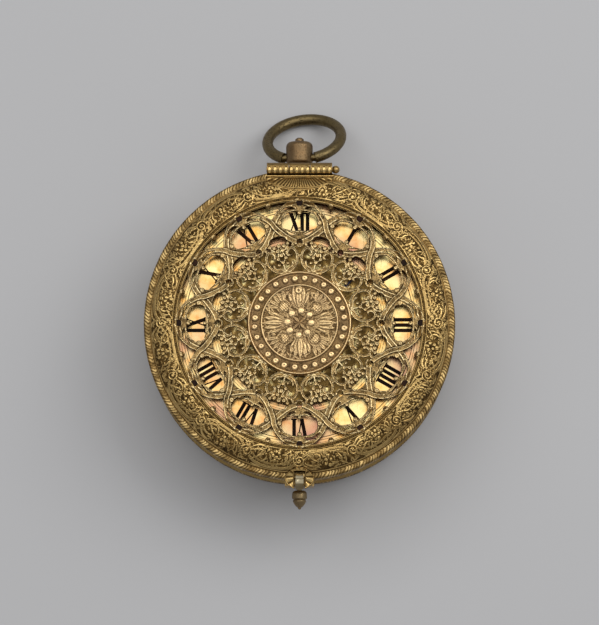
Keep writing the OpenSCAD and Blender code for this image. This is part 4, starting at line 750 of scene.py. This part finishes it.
def catchTongue():
    # A strap of six-sided section carried along its bent side line, with two raised bands across it
    c = catch
    line = curveThrough(c["tongue"], 12)
    ahead = np.gradient(line, axis=0)
    ahead /= np.linalg.norm(ahead, axis=1, keepdims=True)
    away, share = np.stack([-ahead[:, 1], ahead[:, 0]], -1), np.linspace(0, 1, len(line))
    bands = c["tongueBands"] * np.abs(np.sin(4.2 * pi * share)) ** 0.6 * (share > 0.5)
    outer, inner = line + away * bands[:, None], line - away * c["tongueThick"]
    half = c["tongueHalf"] * np.interp(share, [0, 0.85, 1], [1, 1, 0.75])
    section = ((outer, 0.86), (outer, 1.0), (inner, 1.0), (inner, -1.0), (outer, -1.0), (outer, -0.86))
    loop = np.stack([np.column_stack([half * k, side]) for side, k in section], 1)
    loop[:, [1, 4], 1:] -= away[:, None, :] * 0.1
    mark = np.repeat((0.45 + 4.5 * bands)[:, None], 6, 1).clip(0, 1)
    mark[:, 2:4] = 0.1
    ends = np.array([np.arange(6), (np.arange(6) + (len(line) - 1) * 6)[::-1]])
    addPiece("catch_tongue", loop, [gridFaces(len(line), 6, False, True, flip=True), ends], "hook", "catch",
             mark, sharp=40)


def catchAcorn():
    # Turned push piece: its lathe axis is laid along -Y
    points, quads, tris = lathe(catch["acorn"], catch["acornTurns"])
    points = np.stack([points[:, 0], -points[:, 2], points[:, 1] + catch["axisZ"]], -1)
    addPiece("catch_acorn", points, [quads, tris], "acorn", "catch", nodes=["catch_finial"], sharp=35)


catchLeaf()
catchTongue()
catchAcorn()


# Pierced grille of the front cover: one hour's field of metal and openings, repeated round the ring.
# Lines and spots are (across, out) on an hour line; those of stems, berries and scrolls are on a half-hour line.
grille = dict(
    columns=120, rows=146, inner=12.85, outer=31.7, quarters=4,
    middle=25.3, outSwing=5.25, inSwing=4.9, lobe=0.75, strandHalf=0.66, ridge=0.11, ridgeIn=0.14, weave=0.1,
    bosses=(30.3, 20.4), bossHalf=1.32, boreHalf=0.74, footR=13.25, webIn=21.9, webHalf=3.2, eyeHalf=6.6,
    window=[(1.9, 28.05), (4.05, 27.2), (5.0, 25.5), (4.45, 24.05), (2.0, 23.35)], windowRound=0.45,
    slits=[([(1.25, 28.8), (2.5, 28.98), (3.8, 28.55), (5.05, 27.45)], 0.36),
           ([(1.2, 22.3), (2.2, 22.55), (3.4, 23.35)], 0.27)],
    cusps=[(0, 27.75, 0.55), (5.05, 25.15, 0.66), (0, 23.6, 0.5)],
    arch=(0, 21.25, 2.05, 1.1), rimBud=(0, 30.35, 0.7),
    scroll=[(0, -3.8), (1.8, -3.4), (3.15, -2.25), (3.85, -0.5), (3.75, 0.9), (3.0, 1.8), (2.0, 1.65), (1.5, 0.9),
            (1.75, 0.15)],
    scrollR=17.0, scrollHalf=0.37, eye=(2.42, 17.75, 0.5),
    berries=[(0, 20.0, 0.62), (1.25, 19.75, 0.56), (2.3, 20.15, 0.5), (0.65, 18.75, 0.55), (0, 17.6, 0.62),
             (0.95, 16.75, 0.52), (0, 15.75, 0.55), (1.1, 15.3, 0.45), (3.5, 19.5, 0.45)],
    stems=[([(0, 13.4), (0, 14.6), (0, 15.6)], 0.24), ([(0, 13.6), (0.9, 14.1), (2.0, 14.5), (2.5, 15.4)], 0.3),
           ([(0.2, 15.8), (0.9, 16.8), (0.5, 18.4), (0.2, 19.8)], 0.22),
           ([(0.8, 18.6), (1.8, 19.2), (2.4, 20.2)], 0.25), ([(3.1, 18.7), (3.5, 19.6), (4.3, 20.4)], 0.34),
           ([(3.7, 16.0), (4.3, 16.3), (4.9, 16.0)], 0.36)],
    top=30.22, foot=29.3, lipTop=30.98, lipFoot=30.64, lipFrom=29.85, lipWide=0.6,
    # shadowR, shadowFrom, shadowTo: radius and heights of the painted shadow discs in the hour bores
    reach=0.22, unevenMark=0.1, unevenRise=0.006, shadowR=0.73, shadowFrom=30.2, shadowTo=30.66,
)


def toPath(x, y, path, half):
    # Distance from each place to a line of points, less the line's half width there
    path = np.asarray(path, float)
    return (np.hypot(x[:, None] - path[:, 0], y[:, None] - path[:, 1]) - half).min(1)


def toSpot(x, y, spot):
    # Distance to a round spot (across, out, radius)
    return np.hypot(x - spot[0], y - spot[1]) - spot[2]


def toWindow(x, y, corners, rounding):
    # Distance to a rounded polygon: to its shrunk edges, less the rounding, negative inside
    c = np.array(corners + [(-a, b) for a, b in corners[::-1]])
    c = c.mean(0) + (c - c.mean(0)) * (1 - rounding / 3.4)
    edge = np.roll(c, -1, 0) - c
    gapX, gapY = x[:, None] - c[:, 0], y[:, None] - c[:, 1]
    share = unit((gapX * edge[:, 0] + gapY * edge[:, 1]) / (edge ** 2).sum(1))
    far = np.hypot(gapX - share * edge[:, 0], gapY - share * edge[:, 1]).min(1)
    inside = (gapX * edge[:, 1] - gapY * edge[:, 0] > 0).all(1)
    return np.where(inside, -far, far) - rounding


def strandRadius(c):
    # Radius of a strand's middle: middle + swing * sign(c) * |c|^lobe, for c = cos(6 a) or -cos(6 a)
    g = grille
    return g["middle"] + np.where(c > 0, g["outSwing"], g["inSwing"]) * np.sign(c) * np.abs(c) ** g["lobe"]


def strandLine(sign):
    # Plan of a strand's middle past its neighbours: (r sin a, r cos a)
    a = np.radians(np.linspace(-28, 28, 220))
    r = strandRadius(sign * np.cos(6 * a))
    return np.column_stack([r * np.sin(a), r * np.cos(a)])


def openwork(x, y):
    # Signed distance to the metal round one hour line (negative in metal), the distances to the upper and the lower
    # strand, and how near a dome's middle each place is. Metal is the union of strands, bosses, buds, scrolls, stems
    # and the plates between strands, less windows, slits and bores.
    g = grille
    r, a = np.hypot(x, y), np.arctan2(x, y)
    c = np.cos(6 * a)
    strandA, strandB = strandRadius(c), strandRadius(-c)
    falling, rising = toPath(x, y, strandLine(1), 0), toPath(x, y, strandLine(-1), 0)
    metal = np.minimum(falling, rising) - g["strandHalf"]
    eyePlate = np.maximum(r - np.maximum(strandA, strandB), np.minimum(strandA, strandB) - r) + 0.1
    metal = np.minimum(metal, np.maximum(eyePlate, np.abs(a) * g["middle"] - g["eyeHalf"]))
    sides = [(x * cos(t) - y * sin(t), y * cos(t) + x * sin(t)) for t in (radians(15), radians(-15))]
    # The web inside each crossing, pierced by its arch
    archX, archY, archWide, archTall = g["arch"]
    for u, v in sides:
        web = np.maximum(np.maximum(v - np.minimum(strandA, strandB), g["webIn"] - v), np.abs(u) - g["webHalf"])
        arch = (1 - np.hypot((u - archX) / archWide, (v - archY) / archTall)) * archTall
        metal = np.maximum(np.minimum(metal, web), arch)
    metal = np.maximum(metal, -toWindow(x, y, g["window"], g["windowRound"]))
    for knots, half in g["slits"]:
        slit = curveThrough(knots, 9)
        taper = half * np.sin(pi * np.linspace(0.06, 0.94, len(slit))) ** 0.7
        metal = np.maximum(metal, -toPath(np.abs(x), y, slit, taper))
    for spot in g["cusps"]:
        metal = np.minimum(metal, toSpot(np.abs(x), y, spot))
    for bossR in g["bosses"]:
        metal = np.minimum(metal, toSpot(x, y, (0, bossR, g["bossHalf"])))
    domes = np.full(x.shape, 9.0)
    scrollLine = curveThrough(g["scroll"], 12) + [0, g["scrollR"]]
    swell = g["scrollHalf"] * np.interp(np.linspace(0, 1, len(scrollLine)), [0, 0.1, 0.75, 1], [0.8, 1, 1, 0.75])
    for u, v in sides:
        u = np.abs(u)
        metal = np.minimum(metal, toPath(u, v, scrollLine, swell))
        metal = np.minimum(metal, toSpot(u, v, (g["eye"][0] - 0.25, g["eye"][1] - 0.1, 0.72)))
        for knots, half in g["stems"]:
            metal = np.minimum(metal, toPath(u, v, curveThrough(knots, 9), half))
        for spot in g["berries"] + [g["rimBud"]]:
            metal = np.minimum(metal, toSpot(u, v, spot))
            domes = np.minimum(domes, toSpot(u, v, spot) / spot[2] + 1)
        metal = np.maximum(metal, -toSpot(u, v, g["eye"]))
    for spot in g["cusps"]:
        domes = np.minimum(domes, toSpot(np.abs(x), y, spot) / spot[2] + 1)
    metal = np.minimum(metal, r - g["footR"])
    for bossR in g["bosses"]:
        metal = np.maximum(metal, -toSpot(x, y, (0, bossR, g["boreHalf"])))
    return metal, np.where(a > 0, falling, rising), np.where(a > 0, rising, falling), domes


def grilleField():
    # Places, heights and worn marks over one hour, for lines of angle (rows) and radius (columns): edges fall away,
    # each strand has two ridges and a gutter beside it, berries are pricked domes, and strands go over and under
    g = grille
    a = np.radians(np.linspace(-15, 15, g["columns"] + 1))
    r = np.linspace(g["inner"], g["outer"], g["rows"])
    x, y = (np.sin(a)[:, None] * r).ravel(), (np.cos(a)[:, None] * r).ravel()
    metal, over, under, domes = openwork(x, y)
    x, y = pulled(x, y, metal, lambda u, v: openwork(u, v)[0], g["reach"])
    deep, half = np.clip(-metal, 0, 9), g["strandHalf"]
    upper, lower = over < half, (under < half) * (over > half)
    ridge = np.maximum(hump(over, half - g["ridgeIn"], g["ridge"]),
                       hump(under, half - g["ridgeIn"], g["ridge"]) * (over > half + 0.1))
    gutter = (hump(over, half + 0.1, 0.1) + hump(under, half + 0.1, 0.1) * (over > half)) * (ridge < 0.5)
    line = np.maximum(hump(deep, 0.13, 0.09), ridge * (deep > 0.1))
    dome, prick = np.sqrt(unit(1 - domes ** 2)), hump(domes, 0, 0.26)
    height = -0.2 * hump(deep, 0, 0.07) - 0.1 * (1 - line) - 0.12 * gutter + 0.22 * dome - 0.1 * prick
    height += g["weave"] * upper - g["weave"] * lower
    mark = np.where(domes < 1, unit(0.15 + 0.62 * dome - 0.35 * prick), 0.34 + 0.66 * line - 0.34 * gutter)
    return (v.reshape(len(a), len(r)) for v in (x, y, metal, height, mark))


def grillePieces():
    # Each quarter turns the hour's field to its hours, roughens it a little, and lifts its rim up to the lip
    g = grille
    x, y, metal, height, mark = grilleField()
    hours = watch["hours"] // g["quarters"]
    keep = [slice(0, g["columns"])] * (hours - 1) + [slice(0, g["columns"] + 1)]
    for quarter in range(g["quarters"]):
        turn = [radians(30 * (quarter * hours + hour)) for hour in range(hours)]
        px = np.concatenate([(x * cos(t) + y * sin(t))[k] for t, k in zip(turn, keep)])
        py = np.concatenate([(y * cos(t) - x * sin(t))[k] for t, k in zip(turn, keep)])
        solid, rise, worn = (np.concatenate([v[k] for k in keep]) for v in (metal, height, mark))
        worn = unit(worn + dice.normal(0, g["unevenMark"], worn.shape))
        rise = rise + dice.normal(0, g["unevenRise"], rise.shape)
        lift = unit((np.hypot(px, py) - g["lipFrom"]) / g["lipWide"])
        lift = lift * lift * (3 - 2 * lift)
        top = np.stack([px, py, g["top"] + (g["lipTop"] - g["top"]) * lift + rise], -1)
        low = np.stack([px, py, g["foot"] + (g["lipFoot"] - g["foot"]) * lift], -1)
        points, faces, marks = pierced(top, low, solid, worn)
        addPiece("grille_openwork_%d" % (quarter + 1), points, faces, "strand", "front_cover", marks,
                 nodes=["cover_grille"] if quarter == 0 else (), sharp=48)


def hourPoint(hour, across, out):
    # Place in the frame of an hour line: across = clockwise offset, out = distance from the centre
    a = radians(360 / watch["hours"] * hour)
    return np.array([out * sin(a) + across * cos(a), out * cos(a) - across * sin(a)])


def hourBoreShadows():
    # Painted shadow in the hour bores: a near-black disc stands in each bore, a little under the top of the metal, for
    # the shade seen down the hole
    g = grille
    fillAndShade, low, high = g["shadowR"], g["shadowFrom"], g["shadowTo"]
    points, quads, tris = lathe([(0, low), (fillAndShade, low), (fillAndShade, high), (0, high + 0.01)], 20)
    spots = [[*hourPoint(hour, 0, g["bosses"][0]), 0] for hour in range(watch["hours"])]
    points, quads, tris = gather([(points + spot, quads, tris) for spot in spots])
    addPiece("hour_bore_shadows", points, [quads, tris], "fillAndShade", "front_cover", sharp=40)


grillePieces()
hourBoreShadows()


# Medallion
medal = dict(columns=720, rows=88, edge=13.0, low=28.85, skirt=29.6, base=30.55, carvedR=9.2, beads=28, beadR=11.2,
             beadHalf=0.84, rings=((12.68, 0.3, 0.62), (9.5, 0.26, 0.5), (12.0, 0.12, 0.14)),
             fillers=900, fillerIn=1.6, fillerOut=9.0, fruitAt=5.6, fruitHalf=1.42, hatch=4.2, hatchDeep=0.22)


def polar(r, degrees):
    # Place at a radius and a clockwise angle from XII
    return r * sin(radians(degrees)), r * cos(radians(degrees))


def medallionLeaves(field):
    # Eight rays: four broad palmettes, and between them four fans over a hatched fruit
    for ray in range(8):
        at = 45 * ray + dice.normal(0, 1.5)
        leaf = lambda *knots: [polar(r, at + turn) for r, turn in knots]
        if ray % 2 == 0:
            for side, reach in ((-2.2, 7.8), (2.2, 7.8), (-1.1, 8.9), (1.1, 8.9), (0, 9.1)):
                field.leaf(leaf((4.0, side * 4), (6.3, side * 7.5), (reach, side * 8)), 1.75, 0.36)
            if ray == 0:
                field.berry(*polar(8.1, at), 2.1, 0.42)
            continue
        for share in np.linspace(-1, 1, 5):
            field.leaf(leaf((6.4, share * 9), (8.0, share * 15), (9.2, share * 17)), 1.25, 0.32)
        for side in (-1, 1):
            field.leaf(leaf((3.8, side * 9), (5.4, side * 15), (6.9, side * 13)), 0.9, 0.3)
        field.stroke([polar(5.5, at)], 3.0, 0.46)


def medallionField(x, y, rad):
    # Carved height: the rays, small leaves on bare ground between them, a ring of eight berries and a cross flower
    m = medal
    field = Relief(x, y)
    medallionLeaves(field)
    count = m["fillers"]
    for r, at, lean in zip(dice.uniform(m["fillerIn"], m["fillerOut"], count), dice.uniform(0, 360, count),
                           dice.normal(0, 9, count)):
        column, row = int(round((90 - at) / 360 * m["columns"])) % m["columns"], int(np.abs(rad - r).argmin())
        if field.height.reshape(x.shape)[column, row] < 0.05:
            field.leaf([polar(r, at), polar(r + 0.45, at + lean), polar(r + 0.9, at + 2 * lean)], 0.58, 0.3, 4)
    for ray in range(8):
        spot = polar(3.05 + dice.normal(0, 0.1), 45 * ray + 4 + dice.normal(0, 2))
        field.stroke([spot], 1.95 * dice.uniform(0.9, 1.05), 0.42, flat=0.4)
        field.leaf([polar(3.9, 45 * ray + 26), polar(4.9, 45 * ray + 27), polar(5.6, 45 * ray + 24)], 0.8, 0.28)
    for arm in range(4):
        field.leaf([polar(0.2, 45 + 90 * arm), polar(1.3, 48 + 90 * arm), polar(2.3, 43 + 90 * arm)], 0.85, 0.34)
        field.leaf([polar(0.5, 90 * arm), polar(1.4, 90 * arm + 4)], 0.5, 0.24)
    hatch = np.minimum(np.abs(np.sin((x + y) * m["hatch"])), np.abs(np.sin((x - y) * m["hatch"]))) ** 0.5
    fruit = np.min([toSpot(x, y, (*polar(m["fruitAt"], 45 * ray), m["fruitHalf"])) for ray in (1, 3, 5, 7)], 0) < 0
    return field.height.reshape(x.shape) - m["hatchDeep"] * fruit * (1 - hatch)


def medallionPiece():
    # Disc worked as a polar height field: the carved middle, raised rings, and pricked beads on a circle between them
    m = medal
    rad, angle = np.linspace(0.15, m["edge"], m["rows"]), around(m["columns"])
    x, y = np.cos(angle)[:, None] * rad, np.sin(angle)[:, None] * rad
    height = medallionField(x, y, rad) * (rad < m["carvedR"])
    height += 0.03 * np.sin(9 * x + 2 * np.sin(3 * y)) * np.sin(8 * y + 2 * np.sin(4 * x))
    for middle, half, tall in m["rings"]:
        height = np.maximum(height, tall * round01(rad, middle, half))
    for bead in range(m["beads"]):
        spot = polar(m["beadR"] + dice.normal(0, 0.05), 360 / m["beads"] * (bead + 0.5) + dice.normal(0, 0.5))
        d = np.hypot(x - spot[0], y - spot[1]) / (m["beadHalf"] * dice.uniform(0.94, 1.05))
        dome = 0.42 * unit(1 - d ** 2) ** 0.38 - 0.18 * hump(d, 0, 0.24)
        height = np.maximum(height, np.where(d < 1, dome, 0))
    top = ringPoints(angle, rad, m["base"] + height - 0.35 * (rad > m["edge"] - 0.05))
    skirt = ringPoints(angle, np.full(2, m["edge"]), np.array([m["skirt"], m["low"]]))
    grid = np.concatenate([top, skirt], 1)
    rows, count = grid.shape[1], len(angle)
    points = np.vstack([grid.reshape(-1, 3), [0, 0, m["base"] + 0.1], [0, 0, m["low"]]])
    first, after = np.arange(count) * rows, (np.arange(count) + 1) % count * rows
    crown = np.stack([first, after, np.full(count, len(points) - 2)], -1)
    floor = np.stack([after + rows - 1, first + rows - 1, np.full(count, len(points) - 1)], -1)
    mark = np.concatenate([unit(height / 0.5 + 0.27), np.zeros(skirt.shape[:2])], 1)
    addPiece("grille_medallion", points, [gridFaces(count, rows, True, False, flip=True), crown, floor], "medal",
             "front_cover", np.append(mark.ravel(), [0.6, 0]), nodes=["cover_medallion"])


medallionPiece()


# Dial
dial = dict(numeralIn=23.6, numeralOut=28.4, thick=0.92, thin=0.32, serif=0.34, serifAt=0.12,
            rise=0.05, sink=0.1, lineRise=0.02, wide=dict(I=1.35, V=2.7, X=2.7),
            circles=((20.3, 0.16), (20.95, 0.1), (21.6, 0.1), (22.6, 0.22), (28.75, 0.18), (29.35, 0.1), (30.0, 0.1),
                     (30.9, 0.2), (33.6, 0.3)))
dialCentre = dict(columns=384, rows=56, inner=2.6, outer=20.1, low=0.05, rise=0.12)


def boxStroke(a, b, width, low, high):
    # Bar from a to b in plan, closed, between two heights
    left = np.array([a[1] - b[1], b[0] - a[0]]) / np.linalg.norm(b - a) * width / 2
    plan = [a - left, b - left, b + left, a + left]
    points = np.vstack([[*spot, z] for z in (low, high) for spot in plan])
    quads = [[3, 2, 1, 0], [4, 5, 6, 7]] + [[i, (i + 1) % 4, (i + 1) % 4 + 4, i + 4] for i in range(4)]
    return points, np.array(quads), np.empty((0, 3), int)


def numeralStrokes(text):
    # Strokes of one Roman numeral as (x0, y0, x1, y1, width), feet at y 0 and tops at y 1, centred on x 0
    d = dial
    tall, thick, thin = d["numeralOut"] - d["numeralIn"], d["thick"], d["thin"]
    foot, head = d["serifAt"], tall - d["serifAt"]
    serif = lambda x0, x1, y: (x0, y, x1, y, d["serif"])
    x, strokes = -sum(d["wide"][c] for c in text) / 2, []
    for c in text:
        mid = x + d["wide"][c] / 2
        if c == "I":
            strokes.append((mid, 0, mid, tall, thick))
            strokes += [serif(mid - 0.72, mid + 0.72, y) for y in (foot, head)]
        if c == "V":
            strokes += [(mid - 0.85, tall, mid + 0.12, 0, thick), (mid + 0.95, tall, mid + 0.2, 0.1, thin)]
            strokes += [serif(mid - 1.4, mid - 0.25, head), serif(mid + 0.5, mid + 1.4, head)]
        if c == "X":
            strokes += [(mid - 0.85, tall, mid + 0.85, 0, thick), (mid + 0.85, tall, mid - 0.85, 0, thin)]
            strokes += [serif(mid + s * 0.85 - 0.55, mid + s * 0.85 + 0.55, y) for s in (-1, 1) for y in (foot, head)]
        x += d["wide"][c]
    return strokes


def dialWork():
    # Numerals and engraved circles, filled dark, a hair above the dial plate
    d, top = dial, watch["dialTop"]
    low, parts = top - d["sink"], []
    for hour, text in enumerate("XII I II III IIII V VI VII VIII IX X XI".split()):
        for i, (x0, y0, x1, y1, width) in enumerate(numeralStrokes(text)):
            a, b = hourPoint(hour, x0, d["numeralIn"] + y0), hourPoint(hour, x1, d["numeralIn"] + y1)
            parts.append(boxStroke(a, b, width, low, top + d["rise"] + 0.003 * i))
    for radius, width in d["circles"]:
        inner, outer, high = radius - width / 2, radius + width / 2, top + d["lineRise"]
        parts.append(lathe([(inner, low), (outer, low), (outer, high), (inner, high)], 360, True))
    points, quads, _ = gather(parts)
    addPiece("dial_numerals", points, [quads], "fillAndShade", "case", sharp=30)


def dialMiddle():
    # Engraved middle of the dial: height = 0.05 + 0.12 * |sin(6 a + 0.9 sin 1.3 r) cos(0.9 r + 1.2 cos 12 a)|^0.7
    d, top = dialCentre, watch["dialTop"]
    angle, rad = around(d["columns"]), np.linspace(d["inner"], d["outer"], d["rows"])
    a = angle[:, None]
    petals = np.abs(np.sin(6 * a + 0.9 * np.sin(rad * 1.3)) * np.cos(rad * 0.9 + 1.2 * np.cos(12 * a)))
    height = d["low"] + d["rise"] * petals ** 0.7 * (rad > d["inner"] + 0.6) * (rad < d["outer"] - 0.7)
    height[:, [0, -1]] = dial["lineRise"]
    low = ringPoints(angle, np.array([d["outer"], d["inner"]]), np.full(2, top - dial["sink"]))
    grid = np.concatenate([ringPoints(angle, rad, top + height), low], 1)
    addPiece("dial_centre", grid, [gridFaces(len(angle), grid.shape[1], True, True, flip=True)], "dialCentre", "case",
             np.concatenate([petals ** 2, np.zeros((len(angle), 2))], 1))


dialWork()
dialMiddle()


# Floor, lights, camera, in metres
studio = dict(floorHalf=1.5, floorColour=0.525, worldLevel=0.335, keyPower=9.4, keySize=1.5, keyAt=(-0.22, 0.51, 1.33),
              fillPower=5.5, fillSize=0.8, fillAt=(0.75, 0.45, 0.95), lampAim=(0, 0, 0.02),
              sensor=36, seenWide=0.15625, distance=0.9, tilt=6.0, target=(0.0, 0.00275, 0.029))


def grey(level, blue):
    # Colour whose red and green are the level
    return level, level, blue, 1


def areaLamp(name, power, size, at):
    # Square lamp that looks at the watch
    lamp = bpy.data.lights.new(name, "AREA")
    lamp.energy, lamp.size = power, size
    holder = bpy.data.objects.new(name, lamp)
    holder.location = at
    holder.rotation_euler = (Vector(studio["lampAim"]) - Vector(at)).to_track_quat("-Z", "Y").to_euler()
    bpy.context.scene.collection.objects.link(holder)


def studioFloor():
    # Plain paper floor at the height the watch lies on, very faintly mottled
    s, level = studio["floorHalf"], studio["floorColour"]
    mesh = bpy.data.meshes.new("studio_floor")
    mesh.from_pydata([(-s, -s, 0), (s, -s, 0), (s, s, 0), (-s, s, 0)], [], [(0, 1, 2, 3)])
    floor = bpy.data.objects.new("studio_floor", mesh)
    bpy.context.scene.collection.objects.link(floor)
    look = bpy.data.materials.new("floor_paper")
    look.use_nodes = True
    tree = look.node_tree
    place = node(tree, "TexCoord", {}).outputs["Object"]
    tooth = node(tree, "TexNoise", {"Vector": place, "Scale": 9.0, "Detail": 3.0}).outputs["Fac"]
    paper = blend(tree, tooth, grey(level * 0.98, level * 0.99), grey(level * 1.02, level * 1.03))
    shader = tree.nodes["Principled BSDF"].inputs
    tree.links.new(paper, shader["Base Color"])
    shader["Roughness"].default_value = 0.9
    shader["Specular IOR Level"].default_value = 0.1
    mesh.materials.append(look)


def photoCamera():
    # Looks down on the watch from a little below VI, at the distance that gives the photograph's slight slant
    s = studio
    view = bpy.data.cameras.new("photo_camera")
    view.sensor_fit, view.sensor_width, view.lens = "AUTO", s["sensor"], s["sensor"] * s["distance"] / s["seenWide"]
    view.clip_start, view.clip_end = 0.01, 20
    camera = bpy.data.objects.new("photo_camera", view)
    tilt = radians(s["tilt"])
    camera.location = Vector(s["target"]) + s["distance"] * Vector((0, -sin(tilt), cos(tilt)))
    camera.rotation_euler = (tilt, 0, 0)
    bpy.context.scene.collection.objects.link(camera)
    bpy.context.scene.camera = camera


studioFloor()
areaLamp("key_lamp", studio["keyPower"], studio["keySize"], studio["keyAt"])
areaLamp("fill_lamp", studio["fillPower"], studio["fillSize"], studio["fillAt"])
photoCamera()
world = bpy.data.worlds.new("studio_world")
world.use_nodes = True
level = studio["worldLevel"]
world.node_tree.nodes["Background"].inputs["Color"].default_value = grey(level, level * 1.02)
bpy.context.scene.world = world
bpy.context.scene.view_settings.view_transform = "Standard"
print("studio ready")
